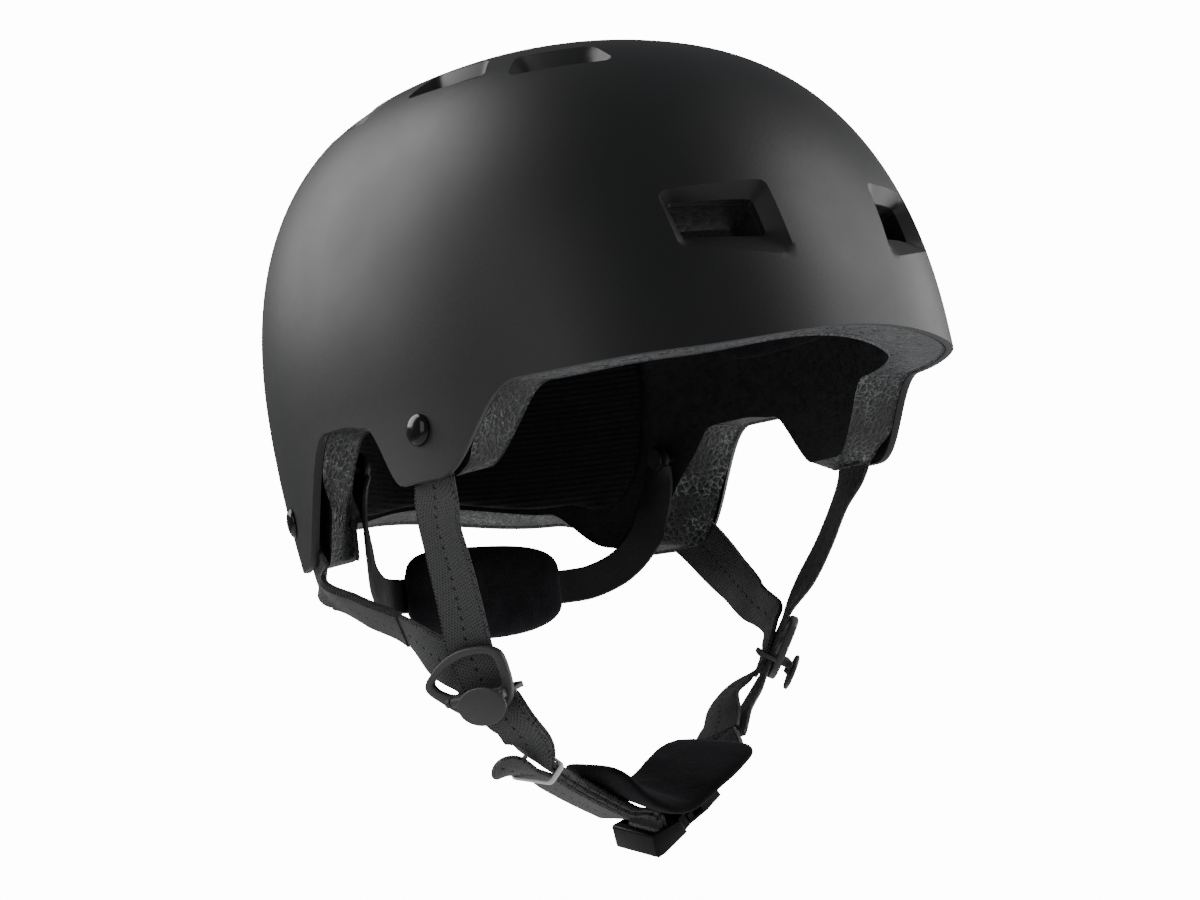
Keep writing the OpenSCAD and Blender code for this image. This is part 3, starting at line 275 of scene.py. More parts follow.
# %% [markdown]
# Bead foam is made of small beads pressed together. Each bead is a cell a few millimetres wide
# with a paler seam where it meets the next, so a Voronoi texture fits. Its distance-to-edge
# output draws the seams, and the colour output gives each bead its own grey.
# %% Bead foam
def bead_foam(name, dark, pale, seam, bead, gloss=0.42, deep=0.5):
    """Foam of pressed beads: two greys for the beads and one for the seams between them."""
    foam, shader = start_material(name, dark, gloss)
    where = add(foam, "ShaderNodeTexCoord").outputs["Object"]
    wobble = add(foam, "ShaderNodeTexNoise", Vector=where, Scale=180.0, Detail=2.0)
    shift = add(foam, "ShaderNodeVectorMath", set_operation="MULTIPLY_ADD",
                i0=wobble.outputs["Color"], i1=(0.0022,) * 3, i2=where).outputs[0]
    cells = add(foam, "ShaderNodeTexVoronoi", Vector=shift, Scale=bead)
    edges = add(foam, "ShaderNodeTexVoronoi", set_feature="DISTANCE_TO_EDGE", Vector=shift,
                Scale=bead).outputs["Distance"]
    own = add(foam, "ShaderNodeSeparateColor", Color=cells.outputs["Color"]).outputs[0]
    cloud = noise(foam, 70, 3)
    bead_grey = blended(foam, own, dark, pale)
    line = ramp(foam, edges, [(0.0, 1.0), (0.13, 0.0)])
    grain = noise(foam, 1100, 2)
    patch = reckon(foam, "MULTIPLY", ramp(foam, cloud, [(0.42, 0.05), (0.64, 1.0)]),
                   ramp(foam, grain, [(0.4, 0.1), (0.62, 1.0)]))
    strength = reckon(foam, "MULTIPLY", line, patch)
    finish_link(foam, blended(foam, strength, bead_grey, seam), shader, "Base Color")
    dome = ramp(foam, edges, [(0.0, 0.0), (0.4, 1.0)])
    finish_link(foam, ramp(foam, own, [(0.0, gloss - 0.08), (1.0, gloss + 0.12)]), shader,
                "Roughness")
    raised(foam, shader, dome, deep, 0.0006)
    return foam


cut_foam = bead_foam("bead_foam_edge", (0.0035, 0.0036, 0.0038), (0.018, 0.0187, 0.0197),
                     (0.34, 0.347, 0.355), bead=400)
# The foam under the brow is a paler copy of the same foam, with the light that falls there painted
# into its colours.
painted_lit_brow_foam = bead_foam("bead_foam_painted_lit_brow", (0.02, 0.022, 0.026), (0.07, 0.075, 0.083),
                      (0.15, 0.16, 0.175), bead=380, gloss=0.3)
inner_foam = bead_foam("bead_foam_inside", (0.012, 0.012, 0.0125), (0.019, 0.019, 0.0197),
                       (0.026, 0.026, 0.027), bead=380, gloss=0.6, deep=0.12)
print("bead foams:", cut_foam.name, painted_lit_brow_foam.name, inner_foam.name)

# %% [markdown]
# Webbing shows rows of small dips between its threads. The rows slant up to the middle and turn
# there, with a line of larger dips along the middle and a finer one along each edge. The strap
# pieces carry a UV map in millimetres, u across and v along, so the dips are products of waves
# in u and v.
# %% Webbing
WEB_WIDE, WEB_THICK = 19.0, 1.6
EDGE_LINE = 8.5


def weave_height(material):
    """A height from 0 in a dip to 1 on the threads, from the strap's own map."""
    def wave(value, pitch, low=0.0, high=1.0):
        turns = reckon(material, "SINE", reckon(material, "MULTIPLY", value, 2 * math.pi / pitch))
        return ramp(material, turns, [(low, 0.0), (high, 1.0)])

    uv = add(material, "ShaderNodeUVMap", set_uv_map="UVMap").outputs[0]
    parts = add(material, "ShaderNodeSeparateXYZ", Vector=uv)
    fold, along = reckon(material, "ABSOLUTE", parts.outputs[0]), parts.outputs[1]
    slant = reckon(material, "ADD", reckon(material, "MULTIPLY", fold, 0.6), along)
    lean = reckon(material, "SUBTRACT", fold, reckon(material, "MULTIPLY", along, 0.22))
    dips = reckon(material, "MULTIPLY", wave(slant, 1.3, -0.35, 0.7), wave(lean, 1.15, -0.35, 0.7))
    middle = reckon(material, "MULTIPLY", ramp(material, fold, [(0.3, 1.0), (0.8, 0.0)]),
                    wave(along, 3.9, 0.35, 0.9))
    side = reckon(material, "ABSOLUTE", reckon(material, "SUBTRACT", fold, EDGE_LINE))
    edge = reckon(material, "MULTIPLY", ramp(material, side, [(0.15, 0.8), (0.5, 0.0)]),
                  wave(along, 1.5))
    deepest = reckon(material, "MAXIMUM", dips, reckon(material, "MAXIMUM", middle, edge))
    return reckon(material, "SUBTRACT", 1.0, deepest)


def webbing_material(name, dark, pale):
    """Woven webbing: painted shade dark in the dips, painted highlight paler on the threads,
    slightly fuzzy.
    """
    web, shader = start_material(name, dark, 0.62, Sheen_Weight=0.2, Sheen_Roughness=0.4)
    height = weave_height(web)
    fuzz = noise(web, 900, 2)
    # The colour is painted shade and highlight: dark where the weave dips, paler on the raised
    # threads, with noise for the fuzz.
    shade = reckon(web, "MULTIPLY", ramp(web, height, [(0.35, 0.0), (1.0, 1.0)]),
                   ramp(web, fuzz, [(0.25, 0.7), (0.75, 1.0)]))
    finish_link(web, blended(web, shade, dark, pale), shader, "Base Color")
    weave_bump = raised(web, shader, height, 1.0, 0.0009)
    raised(web, shader, fuzz, 0.2, 0.0003, weave_bump)
    return web


# Each webbing's paler grey is the light painted on its raised threads.
webbing = webbing_material("black_webbing", (0.001, 0.001, 0.0011), (0.085, 0.085, 0.088))
label_weave = webbing_material("fine_label_weave", (0.011, 0.011, 0.012), (0.025, 0.025, 0.027))
print("webbing nodes:", len(webbing.node_tree.nodes))

# %% [markdown]
# The pads are covered with brushed fleece: very dark, slightly warm, with a pale bloom at
# grazing angles. Sheen gives the bloom, and two sizes of noise make the short pile uneven.
# The rear pad's cover is knitted in fine level ribs, which is a wave along Z.
# %% Pad covers
RIB_PITCH = 0.0022


def fleece_material(name, dark, pale, ribs=0.0):
    """Brushed cloth, with knitted ribs if their pitch in metres is given."""
    fleece, shader = start_material(name, dark, 1.0, Sheen_Weight=0.12, Sheen_Roughness=0.5)
    shader.inputs["Sheen Tint"].default_value = (0.75, 0.72, 0.8, 1)
    shader.inputs["Specular IOR Level"].default_value = 0.08
    pile = noise(fleece, 1400, 4)
    clump = noise(fleece, 160, 3)
    shade = reckon(fleece, "MULTIPLY", pile, ramp(fleece, clump, [(0.3, 0.35), (0.7, 1.0)]))
    finish_link(fleece, blended(fleece, shade, dark, pale), shader, "Base Color")
    bump = raised(fleece, shader, pile, 0.5, 0.0004)
    bump = raised(fleece, shader, clump, 0.3, 0.0012, bump)
    if ribs:
        where = add(fleece, "ShaderNodeTexCoord").outputs["Object"]
        up = add(fleece, "ShaderNodeSeparateXYZ", Vector=where).outputs[2]
        wave = reckon(fleece, "SINE", reckon(fleece, "MULTIPLY", up, 2 * math.pi / ribs))
        raised(fleece, shader, wave, 0.45, 0.0004, bump)
    return fleece


pad_cover = fleece_material("brushed_pad_cover", (0.006, 0.0056, 0.0066), (0.028, 0.025, 0.03))
ribbed_cover = fleece_material("ribbed_pad_cover", (0.013, 0.013, 0.0135), (0.03, 0.03, 0.031),
                               ribs=RIB_PITCH)
chin_cover = fleece_material("chin_sling_fleece", (0.0045, 0.0045, 0.005), (0.018, 0.017, 0.0195))
print("ribs of the rear pad, mm apart:", RIB_PITCH / MM)

# %% [markdown]
# The small plastic parts are moulded in black nylon with a fine spark-eroded grain, the rivets
# are glossy, and the keeper is white rubber. They share one recipe with different numbers.
# %% Moulded plastics, rivets and rubber
def moulded(name, color, roughness, depth=0.15, shine=0.5):
    """Moulded plastic or rubber with a fine grain and slightly uneven gloss."""
    plastic, shader = start_material(name, color, roughness, Specular_IOR_Level=shine)
    fine = noise(plastic, 2200, 3)
    broad = noise(plastic, 60, 3)
    finish_link(plastic, ramp(plastic, broad, [(0.3, roughness - 0.05), (0.7, roughness + 0.07)]),
                shader, "Roughness")
    paler = tuple(min(1, c * 1.35) for c in color)
    finish_link(plastic, blended(plastic, broad, color, paler), shader, "Base Color")
    raised(plastic, shader, fine, depth, 0.0003)
    return plastic


buckle_nylon = moulded("buckle_nylon", (0.0035, 0.0035, 0.0038), 0.36, shine=0.2)
cradle_plastic = moulded("cradle_plastic", (0.009, 0.009, 0.0095), 0.45)
rivet_gloss = moulded("rivet_gloss", (0.006, 0.006, 0.0065), 0.16, depth=0.03)
hidden_grey = moulded("anchor_grey", (0.02, 0.02, 0.021), 0.5)
hook_fabric = fleece_material("hook_dots", (0.006, 0.006, 0.006), (0.02, 0.02, 0.02))
white_rubber = moulded("white_rubber", (0.78, 0.78, 0.76), 0.5, depth=0.1)
print("materials:", len(bpy.data.materials))

# %% [markdown]
# The shell has ten vents, five a side. They could be cut with booleans, but a sloping wall is
# easier to keep even when the vent is drawn flat. Each vent is laid out in millimetres along the
# skin, as an outer outline and an opening inside it.
# %% Lay the vents out flat
VENT_SPAN, VENT_RISE, VENT_REACH, LEVEL_STEPS = 34, 33, 26, 400
LOWEST, HIGHEST = 6.0, 135.2
MOUTH_ROUNDING = 0.7


class Vent:
    """A vent near one angle and height, with outlines in millimetres along the skin."""

    def __init__(self, at, height, pocket, opening, depth, corner):
        self.at, self.height, self.depth, self.corner = at, height, depth, corner
        low, high = max(height - VENT_SPAN, LOWEST), min(height + VENT_SPAN, HIGHEST)
        self.levels = np.linspace(low, high, LEVEL_STEPS)
        rising = skin(at, self.levels, 0.0)
        steps = np.linalg.norm(np.diff(rising, axis=0), axis=1)
        self.run = np.concatenate([[0], np.cumsum(steps)])
        self.run -= np.interp(height, self.levels, self.run)
        middle = skin(at, height, 0.0) - np.array([0, CROWN_LEAN * (height - WAIST_HEIGHT), 0])
        self.per_degree = math.hypot(middle[0], middle[1]) * math.pi / 180
        self.pocket, self.opening = np.array(pocket, float), np.array(opening, float)
        self.mouth_corner = corner * MOUTH_ROUNDING

    def flat(self, degrees, height):
        """Millimetres along the skin from the vent's middle, for an angle and a height."""
        return np.stack([(np.abs(degrees) - self.at) * self.per_degree,
                         np.interp(height, self.levels, self.run)], axis=-1)

    def unflat(self, flat):
        """The angle and height that belong to a place laid out flat."""
        height = np.interp(flat[..., 1], self.run, self.levels)
        return self.at + flat[..., 0] / self.per_degree, height

    def near(self, degrees, height):
        """Which places are close enough for the flat layout to hold."""
        flat = self.flat(degrees, height)
        level = np.abs(height - self.height) < VENT_RISE
        return (np.abs(flat) < VENT_REACH).all(axis=-1) & level


# %% [markdown]
# How far a place is from a vent's outline says whether it lies inside, and how far down the
# sloping wall it is. The outlines are four-sided with rounded corners, so the distance is that
# to a smaller outline with sharp corners, less the rounding.
# %% Distance to an outline
def outline_distance(points, corners, rounding):
    """Signed distance to a rounded outline, below 0 inside; the corners run anticlockwise."""
    middle = corners.mean(axis=0)
    inner = middle + (corners - middle) * (1 - rounding / np.abs(corners - middle).max(axis=0))
    nearest = np.full(points.shape[:-1], 1e9)
    inside = np.ones(points.shape[:-1], bool)
    for a, b in zip(inner, np.roll(inner, -1, axis=0)):
        edge = b - a
        share = np.clip(((points - a) @ edge) / (edge @ edge), 0, 1)
        nearest = np.minimum(nearest, np.linalg.norm(points - a - share[..., None] * edge, axis=-1))
        x, y = points[..., 0] - a[0], points[..., 1] - a[1]
        inside &= (edge[0] * y - edge[1] * x) > 0
    return np.where(inside, -nearest, nearest) - rounding


def to_angle(x, y, z):
    """The angle and height of a place on the skin."""
    return math.degrees(math.atan2(abs(x), -(y - CROWN_LEAN * (z - WAIST_HEIGHT)))), z


def flat_corners(vent_at, vent_height, places):
    """Corners in space, in millimetres, laid out flat round a vent's middle."""
    guide = Vent(vent_at, vent_height, [[0, 0]], [[0, 0]], 0, 0)
    return [guide.flat(*to_angle(*place)).tolist() for place in places]


# %% [markdown]
# The front vents sit in sunk, sharp-edged pockets. Their corners are places on the real shell,
# in millimetres. The vents on top and at the back are slots in shallow scoops. Between the two
# outlines the wall goes down evenly, which gives the pocket its sloping sides.
# %% The ten vents
FRONT_AT, FRONT_HEIGHT = 20.5, 51.0
front_pocket = flat_corners(FRONT_AT, FRONT_HEIGHT, [(-22.8, -129.2, 36.0), (-58.4, -111.4, 42.4),
                                                     (-58.8, -104.1, 61.4), (-24.2, -120.2, 63.2)])
front_opening = flat_corners(FRONT_AT, FRONT_HEIGHT, [(-28.6, -125.7, 45.0), (-56.2, -111.4, 46.8),
                                                      (-56.6, -105.9, 59.8), (-29.0, -121.1, 58.8)])
TOP_POCKET = [[-17, -9.5], [17, -9.5], [15, 9.5], [-15, 9.5]]
TOP_OPENING = [[-13.5, -7.5], [13.5, -7.5], [12.5, 1.5], [-12.5, 1.5]]
SIDE_OPENING = [[-13.5, -7.5], [13.5, -7.5], [12.5, 5.5], [-12.5, 5.5]]
REAR_POCKET = [[-18, -10.5], [16, -9.5], [15, 9.5], [-17, 10.5]]
REAR_OPENING = [[-13.5, -6.5], [12.5, -6.5], [12, 6.5], [-13, 6.5]]
VENTS = [Vent(FRONT_AT, FRONT_HEIGHT, front_pocket, front_opening, 5.0, 3.0),
         Vent(38, 121.6, TOP_POCKET, TOP_OPENING, 4.0, 3.4),
         Vent(74, 124.6, TOP_POCKET, SIDE_OPENING, 4.0, 3.4),
         Vent(121, 121.6, TOP_POCKET, TOP_OPENING, 4.0, 3.4),
         Vent(150, 28.0, REAR_POCKET, REAR_OPENING, 4.2, 3.0)]
print("front pocket corners, mm:", np.round(front_pocket, 1).tolist())


def sunk(degrees, height):
    """How deep the pockets lie under the plain skin."""
    depth = np.zeros(np.broadcast(degrees, height).shape)
    for vent in VENTS:
        flat = vent.flat(degrees, height)
        near = vent.near(degrees, height)
        rim = outline_distance(flat, vent.pocket, vent.corner)
        mouth = outline_distance(flat, vent.opening, vent.mouth_corner)
        within, beyond = np.clip(-rim, 0, None), np.clip(mouth, 0, None)
        share = within / np.maximum(within + beyond, 1e-6)
        depth = np.where(near & (rim < 0), np.maximum(depth, vent.depth * share), depth)
    return depth


# %% [markdown]
# Shell and foam are made on one grid of angles and heights that follows the rim below. Where
# a vent opens, the grid's squares are left out and the points round the gap are pulled exactly
# on to the outline, so the edge is clean without a boolean. Rows and columns lie closer there.
# %% The common grid
LEVEL_FROM = 17.0


def grid_places(fine):
    """Angles and heights of the grid, with a mask of the squares that are kept."""
    step, low_rows, high_rows = (0.8, 26, 122) if fine else (1.2, 14, 84)
    columns = np.arange(-180, 180, step) + step / 2
    climbs = np.linspace(0, 1, high_rows)[:-1]
    start = math.asin((LEVEL_FROM - WAIST_HEIGHT) / DOME_HEIGHT)
    high = WAIST_HEIGHT + DOME_HEIGHT * np.sin(start + climbs * (math.pi / 2 - start))
    t = np.repeat(columns[:, None], low_rows + len(high), axis=1)
    rim = rim_height(t[:, :1])
    low = rim + (LEVEL_FROM - rim) * np.linspace(0, 1, low_rows, endpoint=False)[None, :]
    z = np.concatenate([low, np.repeat(high[None, :], len(columns), axis=0)], axis=1)
    kept = np.ones((len(columns), z.shape[1] - 1), bool)
    t_next, z_next = np.roll(t, -1, axis=0), np.roll(z, -1, axis=0)
    t_next[-1] += 360
    middle_t = (t[:, :-1] + t_next[:, 1:]) / 2
    middle_z = (z[:, :-1] + z[:, 1:] + z_next[:, :-1] + z_next[:, 1:]) / 4
    for vent in VENTS:
        flat = vent.flat(middle_t, middle_z)
        hole = outline_distance(flat, vent.opening, vent.mouth_corner) < 0
        kept &= ~(hole & vent.near(middle_t, middle_z))
    return t, z, kept, low_rows


# %% [markdown]
# A gap made by leaving squares out has steps for an edge. So the points round it slide along the
# skin on to the opening's outline, and the points nearest to the pocket's outline slide on to
# that one. Both edges then run true, at any fineness of the grid.
# %% Pull the grid on to the outlines
def touching(squares):
    """The grid's points that touch one of the given squares."""
    points = np.zeros((squares.shape[0], squares.shape[1] + 1), bool)
    for shifted in (squares, np.roll(squares, 1, axis=0)):
        points[:, :-1] |= shifted
        points[:, 1:] |= shifted
    return points


def to_outline(flat, corners, rounding):
    """How far each place is from an outline, and the direction straight away from it."""
    miss, nudge = outline_distance(flat, corners, rounding), 0.02
    slope = np.stack([outline_distance(flat + [nudge, 0], corners, rounding) - miss,
                      outline_distance(flat + [0, nudge], corners, rounding) - miss], axis=-1)
    return miss, slope / np.maximum(np.linalg.norm(slope, axis=-1, keepdims=True), 1e-9)


def pull_to_outlines(t, z, kept):
    """Moves the points round each gap on to the opening, and the nearest ones on to the pocket."""
    edge = touching(kept) & touching(~kept)
    edge[:, -1] = False
    rows = z[0].copy()
    for vent in VENTS:
        near = edge & vent.near(t, z)
        flat = vent.flat(t[near], z[near])
        for _ in range(3):
            miss, slope = to_outline(flat, vent.opening, vent.mouth_corner)
            flat = flat - slope * miss[:, None]
        angle, height = vent.unflat(flat)
        t[near] = np.sign(t[near]) * angle
        z[near] = height

        near = ~edge & vent.near(t, z)
        flat = vent.flat(t[near], z[near])
        row = int(np.searchsorted(rows, vent.height))
        wide = abs(t[1, 0] - t[0, 0]) * vent.per_degree
        tall = abs(np.diff(vent.flat(np.zeros(2), rows[row:row + 2])[:, 1])[0])
        miss, slope = to_outline(flat, vent.pocket, vent.corner)
        reach = 0.5 * (np.abs(slope[:, 0]) * wide + np.abs(slope[:, 1]) * tall)
        flat = flat - slope * np.where(np.abs(miss) < reach, miss, 0)[:, None]
        angle, height = vent.unflat(flat)
        t[near] = np.sign(t[near]) * angle
        z[near] = height
    return t, z


def inset_height(t, z, inset, low_rows):
    """The height that belongs to a grid point on a skin that lies further in."""
    low = z[0, low_rows]
    low_in = WAIST_HEIGHT + (low - WAIST_HEIGHT) * (DOME_HEIGHT - inset) / DOME_HEIGHT
    rim = rim_height(t)
    share = (z - rim) / (low - rim)
    high = WAIST_HEIGHT + (z - WAIST_HEIGHT) * (DOME_HEIGHT - inset) / DOME_HEIGHT
    return np.where(z >= low, high, rim + (low_in - rim) * share)


GRID_T, GRID_Z, KEPT, LOW_ROWS = grid_places(fine=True)
GRID_T, GRID_Z = pull_to_outlines(GRID_T, GRID_Z, KEPT)
print("grid:", GRID_T.shape, "squares left out:", int((~KEPT).sum()))


# %% [markdown]
# A closed body needs an outside, an inside, a rounded rim and the walls of its vents. One
# function stitches these from two grids of points, and makes both the shell and the liner.
# Each face keeps a number that says what it is, so that edges and walls can get their own look.
# %% Stitch two skins into one body
OUTSIDE, INSIDE, RIM_FACE, VENT_WALL = 0, 1, 2, 3


def stitched(outer, inner, rim_rings, pole_out, pole_in, kept):
    """Points and faces of a closed body, with the kind of each face."""
    columns, rows = outer.shape[:2]
    count = columns * rows
    points = [outer.reshape(-1, 3), inner.reshape(-1, 3), np.array([pole_out, pole_in]), *rim_rings]
    number = np.arange(count).reshape(columns, rows)
    faces, kinds = [], []
    follow = np.roll(number, -1, axis=0)
    for shift, kind in ((0, OUTSIDE), (count, INSIDE)):
        a, b, c, d = (g[kept] + shift for g in (number[:, :-1], follow[:, :-1],
                                                follow[:, 1:], number[:, 1:]))
        quads = np.stack([a, b, c, d] if kind == OUTSIDE else [d, c, b, a], axis=1)
        faces += quads.tolist()
        kinds += [kind] * len(quads)
    for i in range(columns):
        j = (i + 1) % columns
        faces += [[number[i, -1], number[j, -1], 2 * count],
                  [count + number[j, -1], count + number[i, -1], 2 * count + 1]]
        kinds += [OUTSIDE, INSIDE]
        chain = [number[:, 0]] + [2 * count + 2 + k * columns + np.arange(columns)
                                  for k in range(len(rim_rings))] + [count + number[:, 0]]
        for upper, lower in zip(chain, chain[1:]):
            faces.append([lower[i], lower[j], upper[j], upper[i]])
            kinds.append(RIM_FACE)
    before = np.roll(kept, 1, axis=0)
    for i, k in zip(*np.nonzero(~kept)):
        j = (i + 1) % columns
        sides = [(before[i, k], number[i, k], number[i, k + 1]),
                 (np.roll(kept, -1, axis=0)[i, k], number[j, k + 1], number[j, k]),
                 (kept[i, k - 1], number[j, k], number[i, k]),
                 (kept[i, k + 1], number[i, k + 1], number[j, k + 1])]
        for open_side, a, b in sides:
            if open_side:
                faces.append([int(a), int(b), int(b) + count, int(a) + count])
                kinds.append(VENT_WALL)
    return np.concatenate(points), faces, kinds


def dress_faces(piece, kinds, materials):
    """Gives each face the material of its kind."""
    for material in materials:
        piece.data.materials.append(material)
    if len(kinds) == len(piece.data.polygons):
        piece.data.polygons.foreach_set("material_index", np.array(kinds, np.int32))
    else:
        print(piece.name, "lost faces:", len(kinds) - len(piece.data.polygons))


# %% [markdown]
# The shell's wall is 2.8 mm. Its lower edge is trimmed and slightly rounded, and it shows as
# a thin satin line all along the rim. Three short rings round that edge off.
# %% Outer shell
RIM_ROUND, RIM_STEPS = 0.45, ((0.12, 0.5), (0.5, 1.0), (0.88, 0.5))


def shell_points(inset):
    """The shell's skin at an inset, with the pockets of the vents sunk into it."""
    height = inset_height(GRID_T, GRID_Z, inset, LOW_ROWS)
    plain = skin(GRID_T, height, inset)
    return plain - outward(GRID_T, height, inset) * sunk(GRID_T, GRID_Z)[..., None]


def rounded_rim(inset_out, inset_in, drop):
    """Rings that round the lower edge between two skins."""
    t = GRID_T[:, 0]
    z = rim_height(t)
    rings = []
    for share, low in RIM_STEPS:
        inset = inset_out + (inset_in - inset_out) * share
        rings.append(skin(t, z, inset) - np.array([0, 0, drop * low]))
    return rings


def pole(inset):
    """The top of the dome at an inset, where the grid's columns meet."""
    return [0, CROWN_LEAN * (DOME_HEIGHT - inset), WAIST_HEIGHT + DOME_HEIGHT - inset]


points, faces, kinds = stitched(shell_points(0.0), shell_points(SHELL_WALL),
                                rounded_rim(0.0, SHELL_WALL, RIM_ROUND), pole(0),
                                pole(SHELL_WALL), KEPT)
shell = new_piece("shell", points, faces, crease=26)
shell_inside = moulded("shell_inside", (0.012, 0.012, 0.012), 0.5)
dress_faces(shell, kinds, [lacquer, shell_inside, lacquer, lacquer])
settle(shell, "helmet", ["outer_shell"])

# %% [markdown]
# The foam liner fills the space between the shell and the head. It is cut straight across the
# helmet at the ear arches and the flaps, which shows its whole thickness, and it thins toward
# the nape. Its inner skin is the same formula with a changing inset.
# %% Foam liner
LINER_KEYS = [[0, 19.5], [102, 19.5], [122, 15.5], [135, 15.5], [165, 19.5], [180, 19.5]]
EDGE_TURN_KEYS = [[0, 0], [50, -3.5], [92, -3.5], [112, 5], [123, 10], [135, 8], [165, 0], [180, 0]]
LINER_THICK, EDGE_LIFT, THIN_BELOW, THIN_OVER = 19.5, 3.0, 70.0, 50


def liner_inset(t, z):
    """How far inside the shell's outer skin the liner's inner skin lies."""
    around = np.abs((np.asarray(t) + 180) % 360 - 180)
    thinned = (LINER_THICK - eased(around, LINER_KEYS)) * ease((THIN_BELOW - z) / THIN_OVER)
    return LINER_IN + LINER_THICK - thinned


FRONT_RIVET, REAR_RIVET = (79.4, -4.9), (132.7, -23.6)
SEAT_GAP, STRAP_GAP, ANCHOR_GAP, ANCHOR_THICK = 0.3, 0.6, 0.9, 1.4
POCKET_DEPTH = ANCHOR_GAP + WEB_THICK + SHELL_WALL + ANCHOR_THICK + SEAT_GAP - LINER_IN
FRONT_POCKET_TOP, REAR_POCKET_AT, REAR_POCKET_TOP = 6.1, 130, -8.6


def fade(distance, full, gone):
    """1 out to the full distance, then down to 0 where it is gone."""
    return ease((gone - np.abs(distance)) / (gone - full))


def strap_pocket(t, z):
    """The shallow pockets for the straps' ends, in the liner's outer face."""
    above_front = np.maximum(0, z - FRONT_POCKET_TOP)
    above_rear = np.maximum(0, z - REAR_POCKET_TOP)
    front = fade(np.abs(t) - FRONT_RIVET[0], 8, 12) * fade(above_front, 0, 11)
    rear = fade(np.abs(t) - REAR_POCKET_AT, 10.5, 14.5) * fade(above_rear, 0, 12)
    return POCKET_DEPTH * np.maximum(front, rear)


def liner_outer():
    """The liner's outer skin: sunk under the vents and under the straps' ends."""
    height = inset_height(GRID_T, GRID_Z, LINER_IN, LOW_ROWS)
    plain = skin(GRID_T, height, LINER_IN + strap_pocket(GRID_T, height))
    return plain - outward(GRID_T, height, LINER_IN) * sunk(GRID_T, GRID_Z)[..., None]


def liner_inner():
    """The liner's inner skin, turned and lifted along the rim so that the cut edges show."""
    low = np.clip(1 - np.arange(GRID_T.shape[1])[None, :] / LOW_ROWS, 0, 1)
    t = GRID_T + np.sign(GRID_T) * low * eased(GRID_T, EDGE_TURN_KEYS)
    z = inset_height(GRID_T, GRID_Z, LINER_IN + LINER_THICK, LOW_ROWS)
    z = z + low * EDGE_LIFT * ease(-rim_height(GRID_T) / 22)
    return skin(t, z, liner_inset(t, z))


# %% [markdown]
# The cut edge is a row of rings between the two skins, a little lower in the middle than at its
# borders. Under the brow the foam lies in the light, so those faces, chosen by where their middles
# are, get a paler copy of the foam with that light painted into its colour.
# %% The liner's cut edge, and the whole liner
CUT_SHARES = (0.035, 0.14, 0.26, 0.38, 0.5, 0.62, 0.74, 0.86, 0.965)
BORDER_RISE, CUT_RISE = 0.6, 0.15
PAINTED_LIT_BROW, BROW_BACK = 4, -0.06

outer_points, inner_points = liner_outer(), liner_inner()
rim_rings = []
for share in CUT_SHARES:
    ring = outer_points[:, 0] * (1 - share) + inner_points[:, 0] * share
    rise = BORDER_RISE if share in (CUT_SHARES[0], CUT_SHARES[-1]) else CUT_RISE
    rim_rings.append(ring + np.array([0, 0, rise]))
points, faces, kinds = stitched(outer_points, inner_points, rim_rings, pole(LINER_IN),
                                pole(LINER_IN + LINER_THICK), KEPT)
liner = new_piece("foam_liner_beads", points, faces, crease=35)
middles = np.zeros(len(liner.data.polygons) * 3)
liner.data.polygons.foreach_get("center", middles)
middles = middles.reshape(-1, 3)
if len(kinds) == len(middles):
    kinds = [PAINTED_LIT_BROW if kind == RIM_FACE and y < BROW_BACK and z > 0 else kind
             for kind, (x, y, z) in zip(kinds, middles)]
dress_faces(liner, kinds, [inner_foam, inner_foam, cut_foam, inner_foam, painted_lit_brow_foam])
settle(liner, "helmet", ["foam_liner"])

# %% [markdown]
# Straps are modelled directly. A strap is a flat band swept along stations, each a place and
# a direction across the band, with a smooth curve between them. Its section has soft edges and
# a faint groove along the middle, and its map lies in millimetres for the weave.
# %% Sweep a band along stations
PER_STATION = 14


def spline(a, b, c, d, s):
    """A smooth curve from b to c, with a and d as the neighbours that set its slopes."""
    return 0.5 * (2 * b + (c - a) * s + (2 * a - 5 * b + 4 * c - d) * s * s
                  + (3 * b - a - 3 * c + d) * s * s * s)


def swept(stations, per):
    """A smooth path through the stations, as rows of a place and a direction."""
    keys = [np.array(k, float) for k in stations]
    keys = [2 * keys[0] - keys[1]] + keys + [2 * keys[-1] - keys[-2]]
    path = [spline(*keys[i:i + 4], k / per) for i in range(len(keys) - 3) for k in range(per)]
    return np.array(path + [keys[-2]])


def unit(v):
    return v / max(np.linalg.norm(v), 1e-9)


def path_frames(path):
    """For each place on a path: the run, the direction across and the direction off the band."""
    runs, wides, ups = [], [], []
    for i in range(len(path)):
        run = unit(path[min(len(path) - 1, i + 1)][0] - path[max(0, i - 1)][0])
        wide = unit(path[i][1] - (path[i][1] @ run) * run)
        runs.append(run)
        wides.append(wide)
        ups.append(np.cross(run, wide))
    return np.array(runs), np.array(wides), np.array(ups)


# %% [markdown]
# The band's section is a flat bar with round edges and a faint groove. It is repeated at each
# place of the path, once for each layer. The map's second value is the length along the path, so
# the weave keeps its size however the strap turns.
# %% Section and mesh of a band
def band_section(width, thick, groove=0.0, sides=9):
    """A flat section with round edges: points of (across, off) and their places across."""
    across = np.linspace(-1, 1, sides)
    half = thick / 2
    top = [(a * (width / 2 - half * 0.6), half - groove * math.exp(-(a / 0.12) ** 2))
           for a in across]
    bottom = [(a, -b) for a, b in reversed(top)]
    edge = width / 2
    return [(-edge, 0.0), *top, (edge, 0.0), *bottom]


